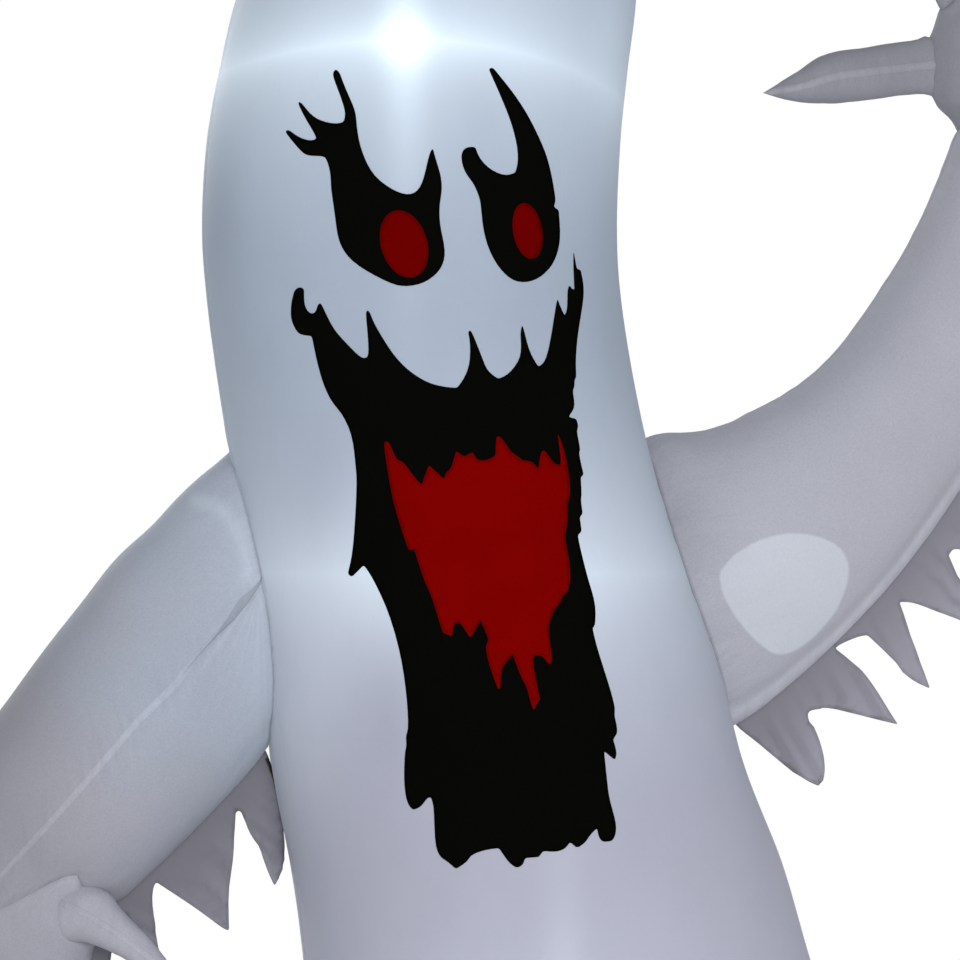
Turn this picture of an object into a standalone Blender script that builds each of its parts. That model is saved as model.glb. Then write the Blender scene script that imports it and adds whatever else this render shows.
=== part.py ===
"""A tall blow-up ghost: sewn skin, two arms with hands and ragged fringes, blower, lamps, zipper and tethers.

The origin is the middle of the base on the ground. +Z is up, the face looks along -Y and the arms reach
along X. Places on the face and the arms are columns and rows of a square picture 960 pixels wide, and they
are carried onto the ghost along the sight lines of the eye that looks at it.
"""
import math

import bmesh
import bpy
from mathutils import Matrix, Vector
from mathutils.geometry import delaunay_2d_cdt

# Body sizes, in metres
SKIRT_HEIGHT = 1.535
CHEST_HEIGHT = 0.687
HEAD_HEIGHT = 1.438
BODY_HEIGHT = SKIRT_HEIGHT + CHEST_HEIGHT + HEAD_HEIGHT
HEAD_RADIUS = 0.456
BASE_RADIUS = 0.650
BODY_LEAN = 0.47
BODY_DEPTH_SHARE = 0.90
HEM_HEIGHT = 0.12
HEM_INSET = 0.035

# Cloth, seams and clearances
FABRIC = 0.001
BASE_CLOTH = 0.003
FACE_CLOTH = 0.0008
SEAT_GAP = 0.0003
SEAM_GAP = 0.0006
WELD = 0.000001
CUT_OVERRUN = 0.02

# The eye that looks at the ghost, and the picture's scale
EYE_DISTANCE_SHARE = 2.459
EYE_DISTANCE = BODY_HEIGHT * EYE_DISTANCE_SHARE
EYE_TURN = math.radians(-12)
EYE_PIXEL = (480, 480)
BASE_PIXEL = (620, 1420)
CROWN_ROW = -230
PIXEL = BODY_HEIGHT / (BASE_PIXEL[1] - CROWN_ROW)

# Body sections: shares of the height, of the lean, of the flare to the base radius, and of the radius
BODY_SHARES = (
    (0.0328, 0.000, 1.000, 1.000), (0.0957, 0.064, 0.896, 1.000), (0.157, 0.127, 0.790, 1.000),
    (0.2186, 0.191, 0.687, 1.000), (0.279, 0.288, 0.554, 1.000), (0.339, 0.390, 0.456, 1.000),
    (0.399, 0.528, 0.338, 1.000), (0.462, 0.618, 0.246, 1.000), (0.508, 0.708, 0.154, 1.000),
    (0.560, 0.807, 0.064, 1.000), (0.617, 0.900, 0.018, 1.000), (0.678, 0.974, 0.000, 1.000),
    (0.721, 0.996, 0.000, 1.000), (0.770, 0.977, 0.000, 0.998), (0.814, 0.930, 0.000, 0.985),
    (0.861, 0.864, 0.000, 0.962), (0.902, 0.794, 0.000, 0.880), (0.940, 0.709, 0.000, 0.717),
    (0.970, 0.628, 0.000, 0.511), (0.989, 0.566, 0.000, 0.304), (1.000, 0.528, 0.000, 0.000))

# Rows of the sewn panels, as shares of the height, and facets across each half
HEM_ROW_SHARES = (0.25, 0.60)
SKIRT_ROW_SHARES = (0.157, 0.231, 0.295, 0.355)
LOWER_SEAM_SHARE = SKIRT_HEIGHT / BODY_HEIGHT
CHEST_ROW_SHARES = (0.481, 0.549)
UPPER_SEAM_SHARE = 1 - HEAD_HEIGHT / BODY_HEIGHT
HEAD_ROW_SHARES = (0.667, 0.727, 0.770, 0.814, 0.861, 0.902, 0.935, 0.962, 0.984, 0.996, 1.0)
HALF_FACETS = 15
MIDDLE_FACET = 7

# Limbs: column, row, half width in pixels, depth as a share of the width, and pixels towards the viewer
ARM_SET_BACK = 0.06
LOWERED_ARM = (
    (320, 535, 128, 0.52, 0), (264, 588, 121, 0.58, 0), (207, 643, 117, 0.68, 0), (146, 710, 116, 0.76, 0),
    (90, 775, 112, 0.82, 0), (48, 825, 105, 0.82, 0), (20, 864, 94, 0.72, 0), (2, 905, 99, 0.66, 0),
    (-12, 950, 97, 0.60, 0), (-24, 990, 84, 0.50, 0), (-33, 1020, 58, 0.45, 0), (-40, 1042, 0, 0.45, 0))
RAISED_ARM = (
    (600, 625, 150, 0.50, 0), (689, 581, 150, 0.58, 0), (805, 510, 116, 0.72, 0), (889, 428, 93, 0.80, 0),
    (965, 315, 85, 0.82, 0), (1005, 220, 78, 0.80, 0), (1024, 140, 72, 0.72, 0), (1025, 95, 84, 0.62, 0),
    (1019, 50, 92, 0.58, 0), (1012, 8, 80, 0.50, 0), (1006, -22, 52, 0.45, 0), (1002, -45, 0, 0.45, 0))
WRIST_ROW = 6
LIMB_FACETS = 20
TIP_WALL_SHARE = 5.0
LOWERED_FINGERS = (
    ("lowered_thumb", ((36, 876, 33, 0.9, 20), (66, 896, 28, 0.9, 44), (95, 917, 21, 0.9, 62),
                       (122, 936, 17, 0.9, 72), (150, 958, 12, 0.9, 78), (187, 990, 0, 0.9, 82))),
    ("lowered_finger_1", ((40, 965, 26, 0.8, 0), (68, 1018, 25, 0.8, 6), (86, 1064, 20, 0.8, 12),
                          (98, 1104, 13, 0.8, 16), (108, 1146, 0, 0.8, 18))),
    ("lowered_finger_2", ((-26, 980, 28, 0.8, 0), (-30, 1040, 27, 0.8, 4), (-34, 1096, 22, 0.8, 10),
                          (-36, 1146, 14, 0.8, 14), (-36, 1196, 0, 0.8, 16))),
    ("lowered_finger_3", ((-78, 950, 26, 0.8, 0), (-118, 998, 25, 0.8, 4), (-144, 1044, 20, 0.8, 10),
                          (-160, 1086, 13, 0.8, 14), (-172, 1128, 0, 0.8, 16))))
RAISED_FINGERS = (
    ("raised_thumb", ((965, 60, 28, 0.9, 0), (921, 66, 27, 0.9, 8), (870, 72, 25, 0.9, 16),
                      (830, 78, 22, 0.9, 20), (797, 88, 12, 0.9, 22), (766, 95, 0, 0.9, 24))),
    ("raised_finger_1", ((975, 30, 25, 0.8, 0), (950, -28, 24, 0.8, 4), (936, -78, 20, 0.8, 8),
                         (928, -122, 13, 0.8, 12), (924, -164, 0, 0.8, 14))),
    ("raised_finger_2", ((1006, 10, 27, 0.8, 0), (1006, -60, 26, 0.8, 4), (1010, -120, 21, 0.8, 8),
                         (1014, -166, 14, 0.8, 12), (1018, -212, 0, 0.8, 14))),
    ("raised_finger_3", ((1044, 30, 25, 0.8, 0), (1066, -26, 24, 0.8, 4), (1082, -74, 20, 0.8, 8),
                         (1094, -118, 13, 0.8, 12), (1104, -158, 0, 0.8, 14))))
FINGER_FACETS = 8
FINGER_SEAM = 0.004

# Air holes between the body and the arms
AIR_HOLE_RADIUS = 0.13
AIR_HOLE_SHARE = 0.505

# Ragged fringes under the arms: outlines in pixels, and the waves of the hanging cloth
LOWERED_FRINGE = (
    (250, 748), (262, 765), (268, 790), (279, 812), (284, 838), (284, 858), (273, 885), (264, 866),
    (259, 847), (249, 832), (243, 814), (236, 812), (233, 841), (231, 878), (228, 930), (196, 908),
    (156, 882), (152, 899), (156, 925), (162, 952), (140, 932), (119, 922), (113, 945), (110, 962),
    (104, 1012), (84, 988), (60, 960), (40, 930), (95, 890), (130, 855), (165, 825))
RAISED_FRINGE = (
    (705, 700), (724, 718), (755, 740), (786, 765), (818, 786), (822, 758), (812, 728), (809, 711),
    (833, 708), (863, 716), (895, 724), (878, 697), (853, 664), (835, 648), (856, 637), (867, 635),
    (912, 680), (933, 689), (921, 658), (900, 602), (912, 602), (939, 613), (985, 632), (970, 596),
    (950, 555), (968, 550), (1004, 564), (1040, 575), (1022, 530), (1000, 492), (1018, 484), (1048, 494),
    (1075, 500), (1060, 455), (1040, 420), (1058, 410), (1086, 414), (1112, 420), (1094, 372),
    (1075, 345), (1094, 330), (1118, 330), (1140, 330), (1120, 290), (1100, 262), (1118, 246),
    (1150, 240), (1130, 205), (1100, 168), (1080, 170), (1050, 250), (1010, 345), (935, 470),
    (860, 560), (780, 660), (735, 690))
FRINGE_STEP = 0.07
FRINGE_WAVE = 0.022
FRINGE_WAVE_LENGTH = 0.17
FRINGE_DROP = 0.12
FRINGE_PROBES = 4

# Face patches, outlines in pixels
LEFT_EYE = (
    (336, 70), (349, 98), (356, 112), (357, 129), (361, 150), (372, 174), (389, 188), (405, 195),
    (416, 192), (424, 181), (428, 162), (432, 150), (435, 161), (441, 177), (439, 208), (440, 226),
    (445, 248), (443, 262), (435, 275), (422, 283), (404, 286), (389, 282), (361, 268), (346, 254),
    (338, 239), (335, 214), (331, 187), (327, 159), (309, 156), (295, 144), (287, 132), (301, 138),
    (311, 140), (315, 136), (306, 119), (299, 104), (312, 115), (324, 122), (337, 124), (345, 117),
    (340, 95), (334, 78))
RIGHT_EYE = (
    (491, 69), (514, 95), (526, 113), (538, 135), (546, 155), (551, 177), (554, 207), (560, 236),
    (557, 254), (549, 269), (538, 278), (524, 282), (511, 278), (498, 266), (489, 249), (484, 226),
    (480, 199), (474, 185), (465, 173), (462, 160), (468, 148), (478, 153), (480, 160), (489, 170),
    (503, 175), (514, 171), (517, 160), (517, 147), (511, 122), (501, 95))
MOUTH = (
    (301, 288), (304, 303), (311, 313), (321, 303), (327, 317), (335, 331), (349, 346), (363, 357),
    (368, 355), (367, 311), (383, 337), (395, 355), (410, 372), (428, 383), (444, 387), (458, 386),
    (465, 378), (470, 361), (469, 332), (480, 352), (485, 367), (498, 378), (509, 372), (520, 358),
    (522, 327), (530, 358), (540, 365), (546, 360), (550, 340), (556, 301), (564, 314), (567, 306),
    (567, 288), (573, 289), (573, 253), (579, 271), (583, 297), (579, 324), (575, 361), (573, 383),
    (574, 407), (569, 416), (577, 428), (579, 453), (582, 477), (579, 535), (586, 563), (594, 599),
    (593, 628), (598, 657), (609, 682), (616, 725), (617, 755), (604, 752), (610, 804), (616, 833),
    (609, 841), (601, 841), (595, 830), (578, 846), (569, 843), (561, 850), (544, 852), (526, 859),
    (518, 867), (509, 863), (500, 850), (480, 851), (468, 856), (459, 866), (439, 857), (435, 841),
    (434, 804), (429, 798), (415, 809), (407, 804), (404, 786), (404, 755), (407, 731), (407, 694),
    (401, 654), (389, 612), (373, 578), (364, 565), (350, 575), (353, 553), (356, 510), (357, 480),
    (353, 438), (344, 416), (331, 401), (323, 383), (312, 337), (301, 335), (294, 327), (291, 312),
    (295, 291))
THROAT = (
    (387, 442), (395, 456), (404, 462), (412, 473), (420, 478), (427, 467), (444, 476), (453, 470),
    (456, 453), (471, 453), (495, 456), (497, 437), (503, 441), (509, 451), (538, 466), (540, 451),
    (558, 463), (557, 434), (564, 453), (569, 480), (569, 501), (565, 520), (564, 538), (570, 560),
    (569, 593), (553, 612), (547, 624), (551, 651), (543, 657), (534, 656), (540, 699), (534, 709),
    (529, 691), (512, 655), (499, 687), (491, 667), (480, 622), (470, 636), (459, 622), (444, 633),
    (438, 612), (427, 584), (413, 550), (401, 526), (392, 495), (389, 480))
LEFT_PUPIL = (404, 244, 23, 34.6, -17)
RIGHT_PUPIL = (527, 231, 14.4, 28.3, -10)
PUPIL_POINTS = 24
FACE_REACH = 0.8
FACE_FIRST_FACET = 1
FACE_SKIRT_ROWS = 3
FACE_HEAD_ROWS = 6

# Deflation zipper, sewn up the middle of the back skirt
ZIP_START = 0.05
ZIP_LENGTH = 0.37
ZIP_TAPE_WIDTH = 0.034
ZIP_TAPE_END = 0.012
ZIP_TAPE_THICKNESS = 0.0008
ZIP_CHAIN_WIDTH = 0.006
ZIP_CHAIN_HEIGHT = 0.002
ZIP_SLOT_WIDTH = 0.007
SLIDER_LENGTH = 0.014
SLIDER_WIDTH = 0.0115
SLIDER_ROOF = 0.0018
SLIDER_GAP = 0.0005
SLIDER_START = 0.004
EAR_THICKNESS = 0.0014
EAR_SPAN = 0.0066
EAR_LENGTH = 0.005
PIN_RADIUS = 0.001
PULL_WIDTH = 0.006
PULL_LENGTH = 0.034
PULL_THICKNESS = 0.0014
PULL_EYE_RADIUS = 0.0024
PULL_PIN_GAP = 0.0003

# Blower, on an axis along Y, measured from where that axis leaves the skirt
BLOWER_X = 0.25
BLOWER_HEIGHT = 0.20
DUCT_RADIUS = 0.080
DUCT_WALL = 0.004
DUCT_INSIDE = 0.13
DUCT_OUTSIDE = 0.145
FLANGE_RADIUS = 0.108
FLANGE_THICKNESS = 0.006
COLLAR_OUTSIDE = 0.088
COLLAR_THICKNESS = 0.002
STRAP_WIDTH = 0.022
STRAP_THICKNESS = 0.002
STRAP_PLACE = 0.058
STAND_WIDTH = 0.19
STAND_DEPTH = 0.036
STAND_RISE_SHARE = 0.4
STAND_PLACE = 0.096
GRILLE_RADIUS = 0.084
GRILLE_THICKNESS = 0.003
GRILLE_RING_SHARES = ((0.26, 0.52), (0.62, 0.88))
GRILLE_SLOTS = 6
GRILLE_ARC_POINTS = 5
GUARD_THICKNESS = 0.005
GUARD_INSET = 0.008
GUARD_HUB_SHARE = 0.52
GUARD_RIM_SHARE = 0.90
GUARD_STRUTS = 4
GUARD_ARC_POINTS = 7
STRUT_TURN_SHARE = 0.16
MOTOR_RADIUS = 0.036
MOTOR_LENGTH = 0.070
MOTOR_BORE_DEPTH = 0.015
SHAFT_RADIUS = 0.004
IMPELLER_RADIUS = 0.070
IMPELLER_HUB = 0.020
IMPELLER_LENGTH = 0.036
IMPELLER_CLEARANCE = 0.012
BLADE_COUNT = 7
BLADE_THICKNESS = 0.004
BLADE_INSET = 0.001
BLADE_TWIST = math.radians(34)
BLADE_LEVELS = 3
GLAND_RADIUS = 0.009
GLAND_LENGTH = 0.022
GLAND_COLLAR_SHARE = 0.33
GLAND_BORE = 0.0035
GLAND_TURN = math.radians(60)
ROUND_FACETS = 24
SMALL_FACETS = 12

# Lamps on the inside of the back, and the cable between them
HOUSING_WIDTH = 0.060
HOUSING_LENGTH = 0.080
HOUSING_DEPTH = 0.020
HOUSING_EDGE = 0.003
EDGE_STEPS = 2
LENS_RADIUS = 0.024
LENS_HEIGHT = 0.014
LENS_STEPS = 5
CABLE_RADIUS = 0.003
CABLE_LEAD = 0.025
CABLE_LEAN = 0.018
CABLE_STAND_OFF = 0.050
CABLE_POINTS = 16
WIRE_ROUNDING = 1

# Tether tabs with rings on the upper back, and stake tabs on the ground
SIDE_FACETS = (3, 11)
RING_WIRE = 0.0025
RING_WIDTH = 0.040
RING_DROP = 0.034
RING_PLAY = 0.0004
RING_POINTS = 12
TAB_WIDTH = 0.030
TAB_LENGTH = 0.055
TAB_THICKNESS = 0.002
TAB_LOOP_WALL = 0.002
STAKE_TAB_WIDTH = 0.045
STAKE_TAB_LENGTH = 0.115
STAKE_TAB_THICKNESS = 0.002
STAKE_HOLE_RADIUS = 0.010

# Fine steps for slopes and searches, as shares
PROBE_SHARE = 0.0005
PLACE_PROBE_SHARE = 0.5
SEARCH_STEPS = 40
CREASE_ANGLE = math.radians(40)

UP = Vector((0, 0, 1))
FRONT = Vector((0, -1, 0))
ACROSS = Vector((1, 0, 0))
EYE_RIGHT = Vector((math.cos(EYE_TURN), math.sin(EYE_TURN), 0))
EYE_FORWARD = Vector((-math.sin(EYE_TURN), math.cos(EYE_TURN), 0))


def picture_point(column, row):
    """The point behind a pixel, on the upright plane through the base that faces the eye."""
    return EYE_RIGHT * ((column - BASE_PIXEL[0]) * PIXEL) + UP * ((BASE_PIXEL[1] - row) * PIXEL)


EYE = picture_point(*EYE_PIXEL) - EYE_FORWARD * EYE_DISTANCE


def seen(column, row, y=0):
    """Where the sight line through a pixel meets the upright plane at y."""
    target = picture_point(column, row)
    return EYE.lerp(target, (y - EYE.y) / (target.y - EYE.y))


def curve_value(points, place):
    """A smooth curve through rows of numbers, read at a place counted in rows."""
    first = min(int(place), len(points) - 2)
    share = place - first
    before = points[max(first - 1, 0)]
    start = points[first]
    end = points[first + 1]
    after = points[min(first + 2, len(points) - 1)]
    return [0.5 * (2 * b + (c - a) * share + (2 * a - 5 * b + 4 * c - d) * share ** 2
                   + (3 * b - a - 3 * c + d) * share ** 3)
            for a, b, c, d in zip(before, start, end, after)]


def body_section(height):
    """The body's centre along X and its radius at a height above the hem."""
    low = 0
    high = len(BODY_SHARES) - 1
    for _ in range(SEARCH_STEPS):
        middle = (low + high) / 2
        if curve_value(BODY_SHARES, middle)[0] * BODY_HEIGHT < height:
            low = middle
        else:
            high = middle
    _, lean, flare, fullness = curve_value(BODY_SHARES, low)
    radius = fullness * (HEAD_RADIUS + flare * (BASE_RADIUS - HEAD_RADIUS))
    return -lean * BODY_LEAN, radius


def section(height):
    """The body's centre and radius at any height; below the hem's height the skirt curls in."""
    centre, radius = body_section(max(height, HEM_HEIGHT))
    if height < HEM_HEIGHT:
        share = 1 - height / HEM_HEIGHT
        radius -= HEM_INSET * (1 - math.sqrt(1 - share ** 2))
    return centre, radius


def skin(height, turn, offset=0):
    """A point of the skin, turn measured from the front towards +X, moved out along the normal."""
    if height >= BODY_HEIGHT:
        return Vector((section(BODY_HEIGHT)[0], 0, BODY_HEIGHT + offset))
    step = BODY_HEIGHT * PROBE_SHARE
    centre, radius = section(height)
    centre_above, radius_above = section(height + step)
    sine = math.sin(turn)
    cosine = math.cos(turn)
    point = Vector((centre + radius * sine, -BODY_DEPTH_SHARE * radius * cosine, height))
    around = Vector((cosine, BODY_DEPTH_SHARE * sine, 0))
    growth = radius_above - radius
    upward = Vector((centre_above - centre + growth * sine, -BODY_DEPTH_SHARE * growth * cosine, step))
    return point + around.cross(upward).normalized() * offset


def half_turns(back):
    """The facet edges of one half of the body, counted with the turn."""
    start = math.pi / 2 if back else -math.pi / 2
    return [start + math.pi * facet / HALF_FACETS for facet in range(HALF_FACETS + 1)]


def half_shift(back):
    """Each half stands half a seam's gap away from the other."""
    return FRONT * (SEAM_GAP / 2 * (-1 if back else 1))


def skirt_heights():
    """Rows of the skirt, from the base panel to the lower seam."""
    hem = [HEM_HEIGHT * share for share in HEM_ROW_SHARES]
    rows = [BODY_HEIGHT * share for share in SKIRT_ROW_SHARES]
    return [BASE_CLOTH + SEAT_GAP] + hem + [HEM_HEIGHT] + rows + [BODY_HEIGHT * LOWER_SEAM_SHARE]


def chest_heights():
    """Rows of the chest, from seam to seam."""
    rows = [BODY_HEIGHT * share for share in CHEST_ROW_SHARES]
    return [BODY_HEIGHT * LOWER_SEAM_SHARE] + rows + [BODY_HEIGHT * UPPER_SEAM_SHARE]


def head_heights():
    """Rows of the head, from the upper seam to the crown."""
    return [BODY_HEIGHT * UPPER_SEAM_SHARE] + [BODY_HEIGHT * share for share in HEAD_ROW_SHARES]


def part_material(name, colour, roughness, metallic=0.0):
    """A plain finish with one colour."""
    finish = bpy.data.materials.new(name)
    finish.use_nodes = True
    shader = finish.node_tree.nodes["Principled BSDF"]
    shader.inputs["Base Color"].default_value = (*colour, 1)
    shader.inputs["Roughness"].default_value = roughness
    shader.inputs["Metallic"].default_value = metallic
    finish.diffuse_color = (*colour, 1)
    return finish


def add_mesh(name, points, faces, finish=None):
    """A mesh object whose faces all point outwards; points that lie together become one."""
    shape = bmesh.new()
    corners = [shape.verts.new(point) for point in points]
    for face in faces:
        shape.faces.new([corners[index] for index in face])
    bmesh.ops.remove_doubles(shape, verts=shape.verts, dist=WELD)
    bmesh.ops.triangulate(shape, faces=[face for face in shape.faces if len(face.verts) > 3])
    bmesh.ops.recalc_face_normals(shape, faces=shape.faces)
    mesh = bpy.data.meshes.new(name)
    shape.to_mesh(mesh)
    shape.free()
    mesh.shade_smooth()
    mesh.set_sharp_from_angle(angle=CREASE_ANGLE)
    if finish:
        mesh.materials.append(finish)
    thing = bpy.data.objects.new(name, mesh)
    bpy.context.scene.collection.objects.link(thing)
    return thing


def grid_faces(rows, columns, wrap, start=0):
    """Triangles of a grid of points, always split along the same diagonal."""
    faces = []
    for row in range(rows - 1):
        for column in range(columns if wrap else columns - 1):
            after = (column + 1) % columns
            a = start + row * columns + column
            b = start + row * columns + after
            c = b + columns
            d = a + columns
            faces += [(a, b, c), (a, c, d)]
    return faces


def add_shell(name, outer, inner, wrap, finish):
    """A thin wall between two grids of points, closed along its free edges."""
    rows = len(outer)
    columns = len(outer[0])
    count = rows * columns
    points = [point for row in outer + inner for point in row]
    faces = grid_faces(rows, columns, wrap) + grid_faces(rows, columns, wrap, count)
    for column in range(columns if wrap else columns - 1):
        after = (column + 1) % columns
        for row in (0, rows - 1):
            a = row * columns + column
            b = row * columns + after
            if (points[a] - points[b]).length > WELD:
                faces += [(a, b, b + count), (a, b + count, a + count)]
    if not wrap:
        for row in range(rows - 1):
            for column in (0, columns - 1):
                a = row * columns + column
                b = a + columns
                faces += [(a, b, b + count), (a, b + count, a + count)]
    return add_mesh(name, points, faces, finish)


def add_solid(name, rows, finish=None):
    """A solid through closed rings of points, with flat ends."""
    columns = len(rows[0])
    points = [point for row in rows for point in row]
    faces = grid_faces(len(rows), columns, True)
    for start in (0, (len(rows) - 1) * columns):
        if (points[start] - points[start + 1]).length > WELD:
            faces.append(tuple(range(start, start + columns)))
    return add_mesh(name, points, faces, finish)


def inside_outline(outline, x, y):
    """Whether a flat point lies inside an outline."""
    inside = False
    for (ax, ay), (bx, by) in zip(outline, outline[1:] + outline[:1]):
        if (ay > y) != (by > y) and x < ax + (bx - ax) * (y - ay) / (by - ay):
            inside = not inside
    return inside


def add_plate(name, loops, lift, finish, inside=()):
    """A plate cut to flat loops of points, the first outside; lift gives its two sides at a flat point."""
    flat = [Vector(point) for loop in loops for point in loop]
    edges = []
    for loop in loops:
        start = len(edges)
        edges += [(start + index, start + (index + 1) % len(loop)) for index in range(len(loop))]
    flat += [Vector(point) for point in inside]
    flat, _, triangles, _, _, _ = delaunay_2d_cdt(flat, edges, [], 1, WELD)
    count = len(flat)
    centres = [sum((flat[index] for index in triangle), Vector((0, 0))) / 3 for triangle in triangles]
    triangles = [triangle for triangle, centre in zip(triangles, centres)
                 if sum(inside_outline(loop, *centre) for loop in loops) == 1]
    sides = [lift(point) for point in flat]
    points = [side[0] for side in sides] + [side[1] for side in sides]
    faces = [tuple(triangle) for triangle in triangles]
    faces += [tuple(index + count for index in triangle) for triangle in triangles]
    uses = {}
    for triangle in triangles:
        for a, b in zip(triangle, list(triangle[1:]) + [triangle[0]]):
            uses.setdefault((min(a, b), max(a, b)), []).append(triangle)
    for (a, b), owners in uses.items():
        if len(owners) == 1:
            faces += [(a, b, b + count), (a, b + count, a + count)]
    return add_mesh(name, points, faces, finish)


def flat_lift(low, high):
    """Both sides of a flat plate between two heights."""
    return lambda point: (Vector((point.x, point.y, low)), Vector((point.x, point.y, high)))


def circle_points(radius, count, centre=(0, 0), start=0.0, turn=2 * math.pi):
    """Points round a circle, or along an arc of it."""
    whole = turn == 2 * math.pi
    steps = count if whole else count - 1
    return [(centre[0] + radius * math.cos(start + turn * step / steps),
             centre[1] + radius * math.sin(start + turn * step / steps)) for step in range(count)]


def add_turned(name, profile, count, finish, closed=False):
    """A turned piece from radius and height pairs; a closed profile is a ring with an open middle."""
    rows = [[Vector((*point, height)) for point in circle_points(radius, count)]
            for radius, height in profile]
    if closed:
        rows.append(rows[0])
    points = [point for row in rows for point in row]
    return add_mesh(name, points, grid_faces(len(rows), count, True), finish)


def boolean(thing, tool, operation="DIFFERENCE"):
    """Cut a piece with a tool, or join or cross it with the tool."""
    change = thing.modifiers.new(tool.name, "BOOLEAN")
    change.operation = operation
    change.solver = "EXACT"
    change.object = tool
    return thing


def as_tool(thing):
    """A cutter that is not a piece of the ghost."""
    thing.hide_render = True
    thing.display_type = "WIRE"
    return thing


def frame_matrix(origin, x_axis, y_axis, z_axis):
    """A place and three directions as a matrix."""
    matrix = Matrix((x_axis, y_axis, z_axis)).transposed().to_4x4()
    matrix.translation = origin
    return matrix


def facet_frame(back, facet, low, high, side=1):
    """A frame lying on a body facet: across, along and outwards, or inwards from its inner side."""
    turns = half_turns(back)[facet:facet + 2]
    offset = 0 if side > 0 else -FABRIC
    corners = [skin(height, turn, offset) + half_shift(back) for height in (low, high) for turn in turns]
    centre = sum(corners, Vector()) / len(corners)
    across = (corners[1] - corners[0] + corners[3] - corners[2]).normalized() * side
    along = (corners[2] - corners[0] + corners[3] - corners[1]).normalized()
    outward = across.cross(along).normalized()
    across = along.cross(outward)
    lift = max((corner - centre).dot(outward) for corner in corners)
    return frame_matrix(centre + outward * lift, across, along, outward)


class Limb:
    """An arm or a finger: round sections along a smooth middle line that the picture gives."""

    def __init__(self, table, side):
        self.side = side
        self.rows = []
        for column, row, half_width, depth, front in table:
            y = ARM_SET_BACK - front * PIXEL
            self.rows.append((*seen(column, row, y), half_width * PIXEL, depth))
        self.end = len(table) - 1

    def middle(self, place):
        return Vector(curve_value(self.rows, place)[:3])

    def direction(self, place):
        ahead = self.middle(min(place + PLACE_PROBE_SHARE, self.end))
        return (ahead - self.middle(max(place - PLACE_PROBE_SHARE, 0))).normalized()

    def point(self, place, turn, offset=0, lean_turn=None, push=0):
        """A point of the limb's skin; lean_turn moves it half a seam's gap that way, push along the limb."""
        half_width, depth = curve_value(self.rows, place)[3:]
        forward = self.direction(place)
        above = Vector((-forward.z, 0, forward.x)).normalized() * self.side
        if half_width <= WELD:
            return self.middle(place) + forward * (offset * TIP_WALL_SHARE)
        point = self.middle(place) + forward * push + above * ((half_width + offset) * math.cos(turn))
        point += FRONT * ((half_width * depth + offset) * math.sin(turn))
        if lean_turn is not None:
            lean = above * math.cos(lean_turn) + FRONT * math.sin(lean_turn)
            point += lean * (SEAM_GAP / 2)
        return point

    def ring(self, place, facets, offset=0, push=0):
        turns = [2 * math.pi * facet / facets for facet in range(facets)]
        return [self.point(place, turn, offset, push=push) for turn in turns]


def add_body_panels(finish):
    """Front and back panels of the skirt, the chest and the head."""
    panels = {}
    tiers = (("body_skirt", skirt_heights(), False, True), ("body_chest", chest_heights(), True, True),
             ("body_head", head_heights(), True, False))
    for name, heights, seam_below, seam_above in tiers:
        if seam_below:
            heights[0] += SEAM_GAP / 2
        if seam_above:
            heights[-1] -= SEAM_GAP / 2
        for back in (False, True):
            grids = [[[skin(height, turn, offset) + half_shift(back) for turn in half_turns(back)]
                      for height in heights] for offset in (0, -FABRIC)]
            panel_name = name + ("_back" if back else "_front")
            panels[panel_name] = add_shell(panel_name, grids[0], grids[1], False, finish)
    return panels


def add_base_panel(finish):
    """The cloth that closes the body on the ground."""
    bottom = BASE_CLOTH + SEAT_GAP
    ring = [skin(bottom, turn) + half_shift(back)
            for back in (False, True) for turn in half_turns(back)]
    outline = [(point.x, point.y) for point in ring]
    return add_plate("base_panel", [outline], flat_lift(0, BASE_CLOTH), finish)


def add_body_tool():
    """The body's outer space, a seat's gap larger, that cuts what is sewn to it."""
    heights = sorted({HEM_HEIGHT, *skirt_heights(), *chest_heights(), *head_heights()})
    rows = []
    for height in heights:
        rows.append([skin(height, turn, SEAT_GAP) + half_shift(back)
                     for back in (False, True) for turn in half_turns(back)])
    return as_tool(add_solid("body_tool", rows))


def cut_air_holes(panels):
    """Round holes in the chest seams, where air passes into the arms."""
    height = BODY_HEIGHT * AIR_HOLE_SHARE
    centre, radius = section(height)
    for name, side in (("lowered_air_hole", -1), ("raised_air_hole", 1)):
        rows = []
        for reach in (radius / 2, radius + CUT_OVERRUN):
            rows.append([Vector((centre + side * reach, ARM_SET_BACK + point[0], height + point[1]))
                         for point in circle_points(AIR_HOLE_RADIUS, SMALL_FACETS)])
        tool = as_tool(add_solid(name, rows))
        boolean(panels["body_chest_front"], tool)
        boolean(panels["body_chest_back"], tool)


def add_arm(limb, panels, body_tool, finish):
    """Two long panels of an arm, from the body to the wrist."""
    places = [(step / 2, 0) for step in range(2 * WRIST_ROW)] + [(WRIST_ROW, -SEAM_GAP / 2)]
    half = LIMB_FACETS // 2
    for name, start in panels:
        turns = [start + math.pi * facet / half for facet in range(half + 1)]
        grids = [[[limb.point(place, turn, offset, start + math.pi / 2, push) for turn in turns]
                  for place, push in places] for offset in (0, -FABRIC)]
        boolean(add_shell(name, grids[0], grids[1], False, finish), body_tool)


def add_limb_tool(name, limb, facets, offset):
    """A limb's space, larger or smaller by an offset."""
    places = list(range(limb.end + 1))
    if limb.end > WRIST_ROW:
        places = sorted({*places, *[place + 0.5 for place in range(WRIST_ROW)]})
    return as_tool(add_solid(name, [limb.ring(place, facets, offset) for place in places]))


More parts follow.
